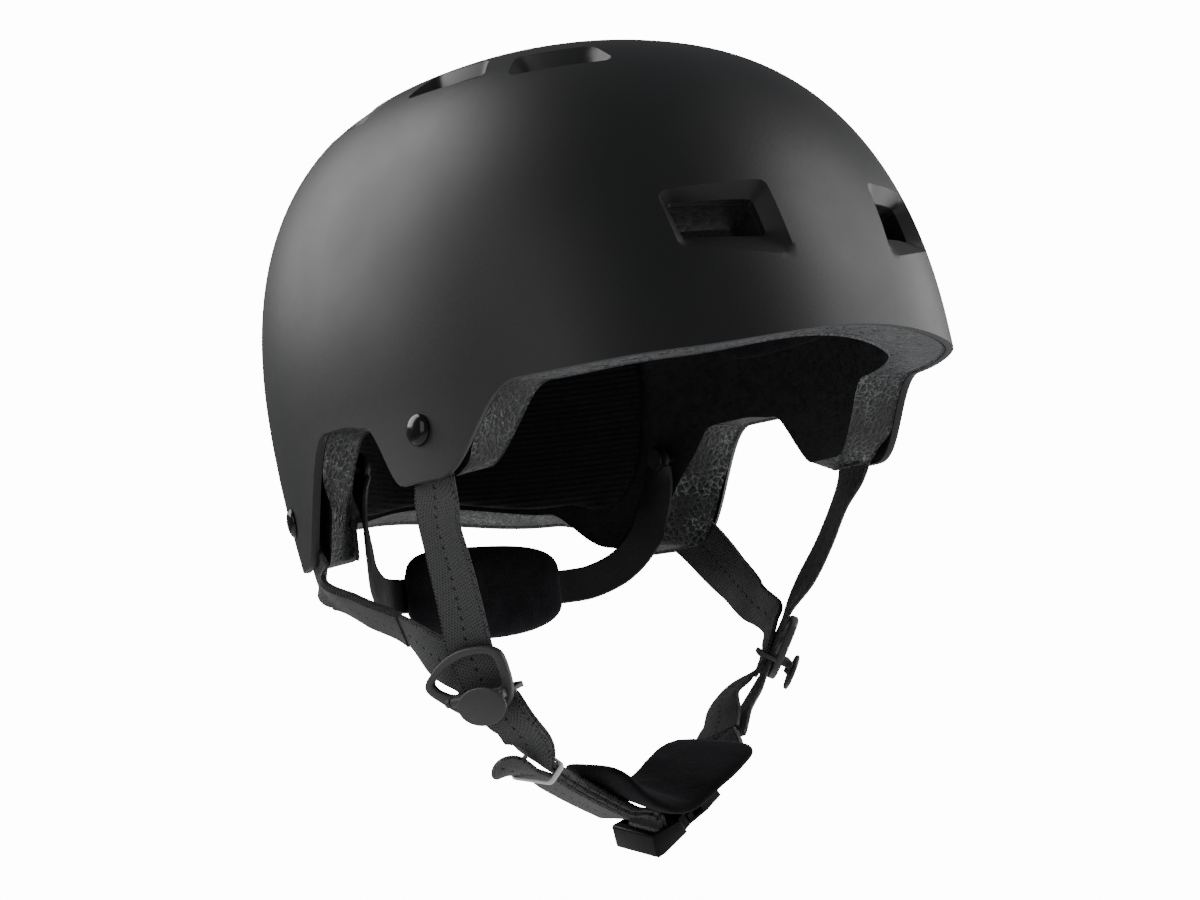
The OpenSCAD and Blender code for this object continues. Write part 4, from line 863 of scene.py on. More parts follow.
def band_mesh(stations, width=WEB_WIDE, thick=WEB_THICK, per=PER_STATION, groove=0.12,
              first=0, last=None, layers=(0.0,), round_end=0.0):
    """Points, faces and weave places of one or more layers of band along the same stations."""
    path = swept(stations, per)
    wides, ups = path_frames(path)[1:]
    along = np.concatenate([[0], np.cumsum(np.linalg.norm(np.diff(path[:, 0], axis=0), axis=1))])
    chosen = slice(first, last)
    places, wides, ups, along = path[chosen, 0], wides[chosen], ups[chosen], along[chosen]
    section = band_section(width, thick, groove)
    n, rows = len(section), len(places)
    points, faces, uvs = [], [], []
    for layer in layers:
        start = len(points)
        for place, wide, up, s in zip(places, wides, ups, along):
            short = max(0.0, 1 - (along[-1] - s) / round_end) if round_end else 0.0
            narrow = math.sqrt(max(0.02, 1 - short ** 2))
            points += [place + wide * a * narrow + up * (b + layer) for a, b in section]
            uvs += [(a * narrow, s) for a, b in section]
        faces += [[start + i * n + k, start + (i + 1) * n + k, start + (i + 1) * n + (k + 1) % n,
                   start + i * n + (k + 1) % n] for i in range(rows - 1) for k in range(n)]
        end = start + (rows - 1) * n
        faces += [[start + k for k in range(n)], [end + k for k in range(n)][::-1]]
    return points, faces, uvs


def band(name, stations, material, **how):
    """A strap as a piece of its own."""
    points, faces, uvs = band_mesh(stations, **how)
    return new_piece(name, points, faces, material, crease=50, uvs=uvs)


# %% [markdown]
# The straps leave their rivets between shell and foam and hang to a divider below each ear.
# The near divider and the far one are turned differently, because the helmet hangs freely; each
# has its own directions: x along its face toward the front, y up and z outward.
# %% Directions at the dividers and at the rivets
STRAP_IN = SHELL_WALL + STRAP_GAP + WEB_THICK / 2
DIVIDER_RIGHT, DIVIDER_LEFT = np.array([-77.0, -1, -90]), np.array([77.0, 9, -84.5])


def turned(x, y, z):
    """Rotation by three angles in degrees, about X, then Y, then Z."""
    about_x, about_y, about_z = (Matrix.Rotation(math.radians(angle), 3, axis)
                                 for angle, axis in ((x, "X"), (y, "Y"), (z, "Z")))
    return np.array(about_z @ about_y @ about_x)


RIGHT_TURN = turned(106.8, -2.3, -71.9)
LEFT_TURN = np.diag([-1.0, 1, 1]) @ turned(119, 5.9, -49)


def at_right(x, y, z):
    """A place in the near divider's own directions."""
    return DIVIDER_RIGHT + RIGHT_TURN @ np.array([x, y, z], float)


def at_left(x, y, z):
    """A place in the far divider's own directions."""
    return DIVIDER_LEFT + LEFT_TURN @ np.array([x, y, z], float)


def right_wide(x, y, z=0.0):
    """A direction across a strap, given in the near divider's own directions."""
    return RIGHT_TURN @ np.array([x, y, z], float)


def left_wide(x, y, z=0.0):
    """The same at the far divider; the sign keeps the far straps' faces outward."""
    return LEFT_TURN @ np.array([-x, -y, -z], float)


def on_shell(t, z, shift=(0, 0, 0)):
    """A station between shell and foam, with the band level round the skin."""
    t, z = np.array(float(t)), np.array(float(z))
    return [skin(t, z, STRAP_IN) + np.array(shift), along_skin(t, z, STRAP_IN)]


def slanted(t, z, degrees):
    """A station of the far rear strap, which leaves its rivet aslant."""
    place, wide = on_shell(t, z)
    out = outward(np.array(float(t)), np.array(float(z)), STRAP_IN)
    up = np.cross(out, wide)
    a = math.radians(degrees)
    further_in = 0.5 if z < -30 else 0.0
    return [place - further_in * out, wide * math.cos(a) - up * math.sin(a)]


print("strap layer inside the shell, mm:", STRAP_IN)

# %% [markdown]
# Each strap's stations are written down from its rivet to its divider. Two straps meet in one
# divider, so the rear one goes under the front one by the thickness of the webbing and a gap.
# %% Stations of the upper straps
LAYER = -(WEB_THICK + SEAT_GAP)
EDGE_ON = np.array([-0.29, -0.89, -0.35])
FAR_SLANT = 32
front_right = [on_shell(-FRONT_RIVET[0], z, (0.6 if z < -20 else 0, 0, 0))
               for z in (3.1, FRONT_RIVET[1], -14, -24.6)] + [
    [[-97.5, -16.6, -36], [0.16, -0.98, -0.11]], [[-92, -13, -50], [0.22, -0.97, -0.06]],
    [[-85.5, -8, -64.5], [0.26, -0.97, -0.02]], [at_right(2, 12, 0.2), right_wide(1, 0)],
    [at_right(2.5, 4, 0), right_wide(1, 0.05)], [at_right(4, -4, -0.15), right_wide(1, 0.15)],
    [at_right(6, -11, 0), right_wide(1, 0.2)]]
rear_right = [on_shell(-t, z) for t, z in ((134.2, -15.6), REAR_RIVET, (130.2, -34),
                                           (127.5, -43.3))] + [
    [[-92.5, 57, -51.5], [-0.4, -0.91, -0.1]], [[-89, 43, -60], [-0.5, -0.84, 0.2]],
    [[-84, 26.6, -69], [-0.55, -0.75, 0.36]],
    [at_right(-14.2, 9.4, -3.7), right_wide(0.7, 0.68, 0.25)],
    [at_right(-3.9, 3.15, LAYER - 0.8), right_wide(0.85, 0.5)],
    [at_right(1.9, -3.6, LAYER - 0.2), right_wide(1, 0.2)],
    [at_right(5.5, -11, LAYER), right_wide(1, 0.2)]]
front_left = [on_shell(FRONT_RIVET[0], z) for z in (3.1, FRONT_RIVET[1], -14)] + [
    [[100.8, -18.8, -25.1], [0.21, 0.97, 0.04]], [[98, -13, -36], [0.45, 0.88, 0.12]],
    [[94, -6.5, -49.5], [0.47, 0.86, 0.2]], [[87, -1, -63], [0.46, 0.87, 0.2]],
    [at_left(2, 12, 0.2), left_wide(1, 0)], [at_left(2.5, 4, 0), left_wide(1, 0.05)],
    [at_left(4, -4, -0.15), left_wide(1, 0.15)], [at_left(6, -11, 0), left_wide(1, 0.2)]]
rear_left = [slanted(t, z, FAR_SLANT) for t, z in ((135.7, -17.6), REAR_RIVET, (129.2, -31.6),
                                                   (125.7, -39.6))] + [
    [[89.5, 49, -48.5], [-0.2, 0.9, -0.4]], [[86, 36.5, -57.5], [0.05, 0.94, -0.34]],
    [[82.5, 24, -67], [0.1, 0.97, -0.25]], [at_left(-10, 8, -4), left_wide(0.75, 0.62, 0.1)],
    [at_left(-3.5, 2.5, LAYER - 0.8), left_wide(0.85, 0.5)],
    [at_left(2, -4, LAYER - 0.2), left_wide(1, 0.2)], [at_left(5.5, -11, LAYER), left_wide(1, 0.2)]]
print("stations:", len(front_right), len(rear_right), len(front_left), len(rear_left))

# %% [markdown]
# With the stations known, one loop sweeps all four upper straps. They do not move against the
# shell, so they ride on the helmet's own body.
# %% Upper straps
for name, stations, node in (("front_strap_near", front_right, "front_strap_right"),
                             ("rear_strap_near", rear_right, "rear_strap_right"),
                             ("front_strap_far", front_left, "front_strap_left"),
                             ("rear_strap_far", rear_left, "rear_strap_left")):
    settle(band(name, stations, webbing), "helmet", [node])

# %% [markdown]
# The near rear strap wears a finer woven sleeve, which is a flat tube round the strap. It is
# the same sweep with a slightly larger section, over part of the strap's length.
# %% Sleeve on the near rear strap
SLEEVE_WIDE, SLEEVE_THICK, SLEEVE_FROM, SLEEVE_TO = 20.5, 3.1, 4, 6
sleeve = band("strap_sleeve", rear_right, label_weave, width=SLEEVE_WIDE, thick=SLEEVE_THICK,
              groove=0.0, first=SLEEVE_FROM * PER_STATION, last=SLEEVE_TO * PER_STATION + 1)
settle(sleeve, "helmet", ["strap_label"])

# %% [markdown]
# Hard parts are put together from a few closed shapes: plates cut from an outline with a rounded
# edge, and rods. An outline is smoothed by cutting its corners, which keeps it inside the size
# that was measured. Every shape is made in its part's own directions and then put in place.
# %% Plates and rods
def smoothed(outline, rounds=2):
    """Cuts every corner of a closed outline a few times."""
    points = np.array(outline, float)
    for _ in range(rounds):
        follow = np.roll(points, -1, axis=0)
        cuts = [points * 0.75 + follow * 0.25, points * 0.25 + follow * 0.75]
        points = np.stack(cuts, 1).reshape(-1, 2)
    return points


def inward(outline, distance):
    """The outline moved in by a distance; an outline that turns clockwise moves out."""
    before, after = np.roll(outline, 1, axis=0), np.roll(outline, -1, axis=0)
    run = after - before
    run /= np.linalg.norm(run, axis=1)[:, None]
    return outline + np.stack([-run[:, 1], run[:, 0]], 1) * distance


EDGE_STEPS = ((0.0, 1.0), (0.3, 0.45), (0.7, 0.12), (1.0, 0.0))


def plate(outline, low, high, edge=0.45, window=None):
    """A plate with rounded edges. A window needs as many corners as the outline."""
    outline = np.array(outline, float)
    steps = [(low + edge * up, edge * inset) for up, inset in EDGE_STEPS]
    steps += [(high - edge * up, edge * inset) for up, inset in EDGE_STEPS[::-1]]
    points, faces = [], []
    n = len(outline)
    walls = [(outline, 1)] if window is None else [(outline, 1), (np.array(window, float), -1)]
    for edge_line, side in walls:
        start = len(points)
        for height, inset in steps:
            points += [(x, y, height) for x, y in inward(edge_line, inset * side)]
        for i in range(len(steps) - 1):
            for k in range(n):
                a, b = start + i * n + k, start + i * n + (k + 1) % n
                faces.append([a, b, b + n, a + n][::side])
    top = (len(steps) - 1) * n
    if window is None:
        faces += [list(range(n))[::-1], [top + k for k in range(n)]]
    else:
        hole = len(steps) * n
        for k in range(n):
            j = (k + 1) % n
            faces += [[j, k, hole + k, hole + j],
                      [top + k, top + j, hole + top + j, hole + top + k]]
    return np.array(points), faces


# %% [markdown]
# Rods stand for pins, bars and barrels, and a brick is a plate with a rounded rectangle for its
# outline. Each is a list of points and faces, so a few of them make one piece, turned and moved
# to its place, with no boolean.
# %% Rods, bricks and their places
def rod(start, end, radius, edge=0.2, sides=40):
    """A round rod between two places, with slightly rounded ends."""
    start, end = np.array(start, float), np.array(end, float)
    axis = unit(end - start)
    side = unit(np.cross(axis, (0.31, 0.52, 0.8)))
    other = np.cross(axis, side)
    stops = [(start, radius - edge), (start + axis * edge, radius), (end - axis * edge, radius),
             (end, radius - edge)]
    turns = [2 * math.pi * k / sides for k in range(sides)]
    points = [at + (side * math.cos(a) + other * math.sin(a)) * r for at, r in stops for a in turns]
    faces = [[i * sides + k, i * sides + (k + 1) % sides, (i + 1) * sides + (k + 1) % sides,
              (i + 1) * sides + k] for i in range(3) for k in range(sides)]
    faces += [list(range(sides))[::-1], [3 * sides + k for k in range(sides)]]
    return np.array(points), faces


def rounded_rectangle(x0, x1, y0, y1, radius, steps=4):
    """The outline of a rectangle whose corners are quarter circles."""
    corners = ((x1 - radius, y1 - radius, 0), (x0 + radius, y1 - radius, 90),
               (x0 + radius, y0 + radius, 180), (x1 - radius, y0 + radius, 270))
    return [(x + radius * math.cos(math.radians(a + 90 * k / steps)),
             y + radius * math.sin(math.radians(a + 90 * k / steps)))
            for x, y, a in corners for k in range(steps + 1)]


def brick(x0, x1, y0, y1, z0, z1, edge=0.3, corner=0.6):
    """A block with rounded corners and edges."""
    radius = min(corner, (x1 - x0) / 2.1, (y1 - y0) / 2.1)
    return plate(rounded_rectangle(x0, x1, y0, y1, radius), z0, z1, edge)


def placed(shapes, turn, origin):
    """Puts shapes together in millimetres, turned by a 3x3 matrix and moved to their place."""
    points, faces = [], []
    flipped = np.linalg.det(np.array(turn)) < 0
    for shape_points, shape_faces in shapes:
        start = len(points)
        points += (np.asarray(shape_points) @ np.array(turn).T + np.array(origin)).tolist()
        faces += [[start + i for i in (face[::-1] if flipped else face)] for face in shape_faces]
    return points, faces


def hard_piece(name, shapes, turn, origin, material, crease=32):
    """Shapes made in their own directions, as one piece in its place."""
    return new_piece(name, *placed(shapes, turn, origin), material, crease=crease)


# %% [markdown]
# A divider is a shield-shaped ring in front of the webbing and a bar behind it. Its lock is a
# lever on two ears, with a round plate for the thumb. The lock turns, so it is a piece of its own.
# %% Strap dividers
RING_Z, FRAME_THICK, LOCK_Y, LOCK_Z = 1.6, 3.0, -5.2, 7.0
RING_OUTLINE = [[-18.4, 2.4], [-14, 6], [-9.4, 9], [-3.2, 11.6], [3, 12.3], [9.1, 12], [14, 10.6],
                [16.4, 8], [16.8, 2], [16.4, -4], [14.4, -9], [10, -12.2], [4, -13.4], [-3, -12.6],
                [-8.5, -10], [-14, -5], [-18.4, -1]][::-1]
RING_WINDOW = [[-15.2, 1.8], [-13.1, 3.4], [-11, 5], [-9, 6.1], [-6.8, 7.2], [-1, 9], [4, 9.6],
               [10, 9.2], [12.6, 7.6], [13.2, 2], [12.8, -3.5], [8, -3.5], [4, -3.5], [-3, -3.5],
               [-9, -3.5], [-11.3, -2.2], [-13.6, -0.8]][::-1]
EARS, POSTS, POST_WIDE, BACK_BAR_Z = (-8.7, 13.4), (-11.4, 14.5), 1.1, -3.3
EAR_R, BARREL_R, FOOT_HALF = 1.6, 1.7, (0.9, 1.55)
THUMB_X, THUMB_DOWN, THUMB_WIDE, THUMB_TALL, THUMB_SIDES = 5.8, 2.6, 9.8, 6.9, 56


def near_start(outline, angle):
    """Starts an outline at the corner nearest to an angle, so that two outlines match up."""
    outline = np.array(outline)
    middle = outline.mean(axis=0)
    turns = np.degrees(np.arctan2(*(outline - middle).T[::-1]))
    return np.roll(outline, -int(np.argmin(np.abs((turns - angle + 180) % 360 - 180))), axis=0)


def divider_shapes():
    """The ring in front, the bar behind it on two posts, and two ears on feet for the lock."""
    ring = plate(near_start(smoothed(RING_OUTLINE), 180), RING_Z, RING_Z + FRAME_THICK, 0.7,
                 near_start(smoothed(RING_WINDOW), 180))
    bar = brick(POSTS[0], POSTS[1] + POST_WIDE, -6.6, -4.4, BACK_BAR_Z - 1.7, BACK_BAR_Z, 0.5)
    posts = [brick(x, x + POST_WIDE, -6.4, -4.6, BACK_BAR_Z - 1, RING_Z + 1.5, 0.3, 0.5)
             for x in POSTS]
    ears = [rod((x - 1, LOCK_Y, LOCK_Z), (x + 1, LOCK_Y, LOCK_Z), EAR_R, 0.3) for x in EARS]
    feet = [brick(x - FOOT_HALF[0], x + FOOT_HALF[0], LOCK_Y - FOOT_HALF[1], LOCK_Y + FOOT_HALF[1],
                  RING_Z + FRAME_THICK - 0.5, LOCK_Z, 0.3, 0.5) for x in EARS]
    return [ring, bar, *posts, *ears, *feet]


def lock_shapes():
    """The barrel between the ears, a web below it and the oval plate for the thumb."""
    barrel = rod((EARS[0] + 1.5, LOCK_Y, LOCK_Z), (EARS[1] - 1.5, LOCK_Y, LOCK_Z), BARREL_R)
    web = brick(EARS[0] + 4, EARS[1] - 1.5, LOCK_Y - 4, LOCK_Y, LOCK_Z + 0.3, LOCK_Z + 2.1, 0.4)
    thumb = [(THUMB_X + THUMB_WIDE * math.cos(a), LOCK_Y - THUMB_DOWN + THUMB_TALL * math.sin(a))
             for a in np.linspace(0, 2 * math.pi, THUMB_SIDES, endpoint=False)]
    return [barrel, web, plate(thumb, LOCK_Z + 1.85, LOCK_Z + 3.4, 0.55)]


divider_grey = moulded("divider_grey", (0.066, 0.066, 0.068), 0.48, depth=0.2)
for side, origin, turn, body in (("right", DIVIDER_RIGHT, RIGHT_TURN, "lock_right"),
                                 ("left", DIVIDER_LEFT, LEFT_TURN, "lock_left")):
    ring_piece = hard_piece("divider_ring_" + side, divider_shapes(), turn, origin, divider_grey)
    settle(ring_piece, "helmet", ["divider_frame_" + side])
    lock_piece = hard_piece("divider_lever_" + side, lock_shapes(), turn, origin, divider_grey)
    settle(lock_piece, body, ["divider_lock_" + side])

# %% [markdown]
# Under each divider both straps run on together as a chin strap: two layers of webbing, one on
# the other, down to a bar in the buckle. The buckle is turned under the chin, so its two halves
# get directions of their own, and all that touches them is placed by these.
# %% Directions of the buckle, and webbing in two layers
BUCKLE_AT = np.array([-14, -2.1, -152.4])
BUCKLE_TURN = turned(14, -18, -8)
CLIP_L, CLIP_T, BAR_X, BAR_Z, BAR_R = 13.5, 9.0, 7.6, 1.0, 1.5
SOCKET_T, SOCKET_BAR_X, SEAM_PITCH = 5.6, 17.5, math.radians(21)
bx, by, bz = BUCKLE_TURN.T
sx = bx * math.cos(SEAM_PITCH) + bz * math.sin(SEAM_PITCH)
sz = bz * math.cos(SEAM_PITCH) - bx * math.sin(SEAM_PITCH)
SEAM_AT = BUCKLE_AT + CLIP_L * bx + CLIP_T / 2 * bz - SOCKET_T / 2 * sz
LOOP_R, LOOP_WIDE = 2.6, 18.4
DOUBLE = (-0.93, 0.93)
print("seam of the buckle at, mm:", np.round(SEAM_AT, 1))


def at_buckle(x, y, z):
    """A place in the clip block's own directions: x to the seam, y across and z up."""
    return BUCKLE_AT + x * bx + y * by + z * bz


def at_socket(x, y, z):
    """A place in the socket's own directions, which pitch up from the seam."""
    return SEAM_AT + x * sx + y * by + z * sz


def bar_loop(middle, first, second):
    """Webbing that turns once round a buckle's bar."""
    stations = [[middle + (first * math.cos(a) + second * math.sin(a)) * LOOP_R, -by]
                for a in np.radians(np.linspace(0, 360, 13))]
    return band_mesh(stations, width=LOOP_WIDE, per=4, groove=0.1)


def joined(*meshes):
    """Puts several meshes, with their weave places, into one."""
    points, faces, uvs = [], [], []
    for mesh_points, mesh_faces, mesh_uvs in meshes:
        faces += [[i + len(points) for i in face] for face in mesh_faces]
        points += list(mesh_points)
        uvs += list(mesh_uvs)
    return points, faces, uvs


def double_strap(name, stations, loop):
    """Two layers of webbing along the same stations, with the loop round the bar at their end."""
    points, faces, uvs = joined(band_mesh(stations, layers=DOUBLE), loop)
    return new_piece(name, points, faces, webbing, crease=50, uvs=uvs)


# %% [markdown]
# The near chin strap runs down from the divider, soon nearly edge-on to the camera, and ends in
# a loop round the clip block's bar.
# %% Near chin strap
chin_right = [[at_right(6.05, -11.15, LAYER / 2), right_wide(1, 0.2)],
              [[-67.5, -8.8, -107], [0.05, -0.98, 0.15]],
              [[-61.5, -7.5, -113.5], [0.1, -0.98, 0.05]],
              [[-56, -3.6, -118.4], [-0.24, -0.92, -0.27]], [[-50, -2.5, -121.6], EDGE_ON],
              [[-42, -2, -126.3], EDGE_ON], [[-30, -1.8, -132.6], EDGE_ON],
              [[-18, -2.4, -138.8], EDGE_ON], [at_buckle(BAR_X - 1.6, 0, 9), -by],
              [at_buckle(BAR_X - 0.2, 0, 6), -by], [at_buckle(BAR_X, 0, 3.6), -by]]
near_chin = double_strap("chin_strap_near", chin_right,
                         bar_loop(at_buckle(BAR_X, 0, BAR_Z), bx, bz))
settle(near_chin, "helmet", ["chin_strap_right"])

# %% [markdown]
# The strap's free end comes back up below it, fanned out so that its face shows. Its stations
# are the strap's own ones moved down, and the last three curl it away from the strap.
# %% Free end of the near chin strap
TAIL_DOWN = np.array([-0.4, 0.42, -0.81])
FAN, DOUBLE_DEEP = 19, 3.5
TAIL_OFF = DOUBLE_DEEP / 2 + WEB_WIDE / 2 * math.sin(math.radians(FAN))


def fanned(degrees):
    """The direction across the free end when it is turned out by an angle."""
    a = math.radians(degrees)
    return EDGE_ON * math.cos(a) - TAIL_DOWN * math.sin(a)


tail_stations = [[np.array(chin_right[i][0]) + TAIL_DOWN * (TAIL_OFF + d), fanned(FAN)]
                 for i, d in ((7, 0), (6, 0.3), (5, 0.4), (4, 0.4))] + [
    [[-58, 1.2, -123.4], fanned(23)], [[-63.8, 2.0, -121.8], fanned(42)],
    [[-69, 2.6, -119.8], fanned(56)]]
free_end = band("strap_free_end", tail_stations, webbing, per=20, round_end=9)
settle(free_end, "helmet", ["strap_tail"])

# %% [markdown]
# A white rubber ring holds the strap and its free end together. It is an oval section bent
# round a soft rectangle, which is deeper at the end where the free end fans out. A curve with
# a bevel would give a round section, so the points are set directly.
# %% Keeper ring
KEEPER_BEND, KEEPER_HALF, ROUND = 1.85, 0.66, 12
KEEPER_CORNERS = (((9.0, 3.3), -4, 72), ((-9.0, 9.0), 72, 180), ((-9.0, -1.1), 180, 270),
                  ((9.0, -1.1), 270, 356))
keeper_run = unit(np.array(chin_right[5][0], float) - np.array(chin_right[4][0], float))
keeper_wide = unit(EDGE_ON - (EDGE_ON @ keeper_run) * keeper_run)
keeper_down = np.cross(keeper_run, keeper_wide)
keeper_down *= np.sign(keeper_down @ TAIL_DOWN)
keeper_at = np.array(chin_right[4][0]) - 2 * keeper_run
keeper_line = [(x + KEEPER_BEND * math.cos(turn), y + KEEPER_BEND * math.sin(turn))
               for (x, y), first, last in KEEPER_CORNERS
               for turn in np.radians(np.linspace(first, last, 9))]
ring_points, ring_faces = [], []
for k, (x, y) in enumerate(keeper_line):
    ahead, behind = np.array(keeper_line[(k + 1) % len(keeper_line)]), np.array(keeper_line[k - 1])
    tangent = unit(ahead - behind)
    normal = np.array([tangent[1], -tangent[0]])
    for a in np.linspace(0, 2 * math.pi, ROUND, endpoint=False):
        flat = np.array([x, y]) + normal * KEEPER_HALF * math.cos(a)
        ring_points.append(keeper_at + keeper_wide * flat[0] + keeper_down * flat[1]
                           + keeper_run * math.sin(a))
n = len(keeper_line)
for k in range(n):
    for i in range(ROUND):
        a, b = k * ROUND + i, k * ROUND + (i + 1) % ROUND
        c, d = (k + 1) % n * ROUND + (i + 1) % ROUND, (k + 1) % n * ROUND + i
        ring_faces.append([a, b, c, d])
keeper = new_piece("keeper_ring", ring_points, ring_faces, white_rubber, crease=70)
settle(keeper, "keeper", ["strap_keeper"])

# %% [markdown]
# Under the far divider the webbing opens into two legs, sewn together again before the socket.
# When the buckle is open the socket swings off with its strap, and everything past the seam rides
# on its body; the legs stay where they are made, on no body.
# %% Far legs and chin strap
LEG_JOIN = np.array([37, 0.5, -119.5])
front_leg = [[at_left(6.05, -11.15, 0), left_wide(1, 0.2)],
             [[60.5, 8, -104.5], [0.45, 0.88, -0.1]],
             [[48, 4, -113], [0.4, 0.9, -0.1]], [LEG_JOIN + [0, -0.8, 0.1], [0.15, 0.97, 0.1]]]
rear_leg = [[at_left(5.55, -11.15, LAYER), left_wide(1, 0.2)],
            [[61, 14, -98.5], [0.25, 0.95, -0.1]],
            [[52, 14, -104.5], [0.15, 0.95, -0.2]], [[44, 8, -111.5], [0.1, 0.97, -0.05]],
            [LEG_JOIN + [-1.9, 1.2, 2.1], [0.15, 0.97, 0.1]]]
for name, stations, node in (("front_leg_far", front_leg, "front_leg_left"),
                             ("rear_leg_far", rear_leg, "rear_leg_left")):
    leg = band(name, stations, webbing)
    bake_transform(leg)
    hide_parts(node)

chin_left = [[LEG_JOIN + [-3.3, -0.5, -1.2], [0.15, 0.97, 0.1]],
             [[29.5, -4.9, -124.8], [0.1, 0.97, 0.17]],
             [[23.4, -8.4, -128.4], by], [at_socket(SOCKET_BAR_X + 6, 0, 0), by],
             [at_socket(SOCKET_BAR_X + LOOP_R, 0, 0), by]]
far_chin = double_strap("chin_strap_far", chin_left,
                        bar_loop(at_socket(SOCKET_BAR_X, 0, 0), sx, sz))
settle(far_chin, "chin_left", ["chin_strap_left"])

# %% [markdown]
# The buckle is two blocks that meet at a seam. Each starts as a profile, and the slot for the
# webbing is cut with a boolean. A bevel afterwards rounds the edges, which is what catches the
# light on a small black part. Bars that cross a slot are joined on last, so that the bevel does
# not reach them.
# %% Tools for the buckle
SLOT_REACH, SLOT_HALF, BAR_HALF = 4.4, 10.1, 10.6


def profile_block(name, profile, width, turn, origin, material):
    """A block with an (x, z) side profile and a width along y, centred."""
    n = len(profile)
    points = [(x, y, z) for y in (-width / 2, width / 2) for x, z in profile]
    faces = [list(range(n))[::-1], [n + k for k in range(n)]]
    faces += [[k, (k + 1) % n, n + (k + 1) % n, n + k] for k in range(n)]
    return hard_piece(name, [(points, faces)], turn, origin, material)


def cut_away(piece, cutters):
    """Takes the cutters' shapes out of a piece, and the cutters out of the scene."""
    for cutter in cutters:
        cut = piece.modifiers.new("cut", "BOOLEAN")
        cut.operation, cut.solver, cut.object = "DIFFERENCE", "EXACT", cutter
    bake_modifiers(piece)
    for cutter in cutters:
        bpy.data.objects.remove(cutter)
    return piece


def beveled(piece, width_mm, crease=32):
    """Rounds the sharp edges of a piece."""
    bevel = piece.modifiers.new("edge", "BEVEL")
    bevel.width, bevel.segments, bevel.limit_method = width_mm * MM, 3, "ANGLE"
    bevel.angle_limit = math.radians(26)
    bevel.harden_normals = False
    bake_modifiers(piece)
    piece.data.shade_smooth()
    piece.data.set_sharp_from_angle(angle=math.radians(crease))
    return piece


# %% [markdown]
# A boolean or a lathe can leave faces that point inward, and a block's bar and guide are made as
# pieces of their own. Two more tools put the normals right and join such pieces to their block.
# %% Normals and joining
def fix_normals(piece):
    """Turns every face outward."""
    work = bmesh.new()
    work.from_mesh(piece.data)
    bmesh.ops.recalc_face_normals(work, faces=work.faces)
    work.to_mesh(piece.data)
    work.free()
    return piece


def joined_on(piece, extras):
    """Makes extra pieces part of a piece."""
    bpy.context.view_layer.update()
    with bpy.context.temp_override(active_object=piece, selected_editable_objects=[piece, *extras]):
        bpy.ops.object.join()
    return piece


def buckle_part(name, shape, turn, origin):
    """One shape of the buckle, in its nylon."""
    return hard_piece(name, [shape], turn, origin, buckle_nylon)


# %% [markdown]
# The clip block is the half on the near strap. Its end is cut aslant where the socket meets it,
# and a guide runs on from it into the socket.
# %% Clip block
CLIP_WIDE, CLIP_BEVEL = 23.8, 0.7
under = (CLIP_L + SOCKET_T * math.sin(SEAM_PITCH), CLIP_T / 2 - SOCKET_T * math.cos(SEAM_PITCH))
clip_turn = np.stack([bx, by, bz], axis=1)
socket_turn = np.stack([sx, by, sz], axis=1)
clip_profile = [(0.6, CLIP_T / 2), (0, 3.9), (0, -3.7), (0.8, -CLIP_T / 2), (4, -4.1), under,
                (CLIP_L, CLIP_T / 2)]
clip = fix_normals(profile_block("buckle_block", clip_profile, CLIP_WIDE, clip_turn, BUCKLE_AT,
                                 buckle_nylon))
clip_slot = brick(BAR_X - SLOT_REACH, BAR_X + SLOT_REACH, -SLOT_HALF, SLOT_HALF, -9, 9, 0.1, 0.8)
cut_away(clip, [buckle_part("cutter", clip_slot, clip_turn, BUCKLE_AT)])
beveled(clip, CLIP_BEVEL)
clip_bar = rod((BAR_X, -BAR_HALF, BAR_Z), (BAR_X, BAR_HALF, BAR_Z), BAR_R)
guide = brick(-1, 11.1, -2, 2, -1.35, 1.35, 0.3)
joined_on(clip, [buckle_part("clip_bar", clip_bar, clip_turn, BUCKLE_AT),
                 buckle_part("guide", guide, socket_turn, SEAM_AT)])
settle(clip, "helmet", ["buckle_clip"])

# %% [markdown]
# The socket is the half that comes off, with the far strap on its bar. Inside it there is room
# for the guide and the prongs, and a window on each side shows them.
# %% Socket
SOCKET_BEVEL = 0.45
half = [(0.3, 10), (4, 10), (8, 11.1), (11, 12), (19, 12)]
socket_outline = half + [(x, -y) for x, y in half[::-1]]
socket_body = plate(socket_outline[::-1], -SOCKET_T / 2, SOCKET_T / 2, 0.05)
socket = buckle_part("buckle_socket_body", socket_body, socket_turn, SEAM_AT)
strap_slot = brick(SOCKET_BAR_X - SLOT_REACH, 30, -SLOT_HALF, SLOT_HALF, -6, 6, 0.1, 0.8)
prong_room = brick(-2, 12.1, -9, 9, -1.6, 1.6, 0.05, 0.2)
side_windows = brick(3.5, 9.9, -20, 20, -1.6, 1.6, 0.05, 0.5)
cut_away(fix_normals(socket), [buckle_part("cutter", shape, socket_turn, SEAM_AT)
                               for shape in (strap_slot, prong_room, side_windows)])
beveled(socket, SOCKET_BEVEL)
socket_bar = rod((SOCKET_BAR_X, -BAR_HALF, 0), (SOCKET_BAR_X, BAR_HALF, 0), BAR_R)
joined_on(socket, [buckle_part("socket_bar", socket_bar, socket_turn, SEAM_AT)])
settle(socket, "chin_left", ["buckle_socket"])

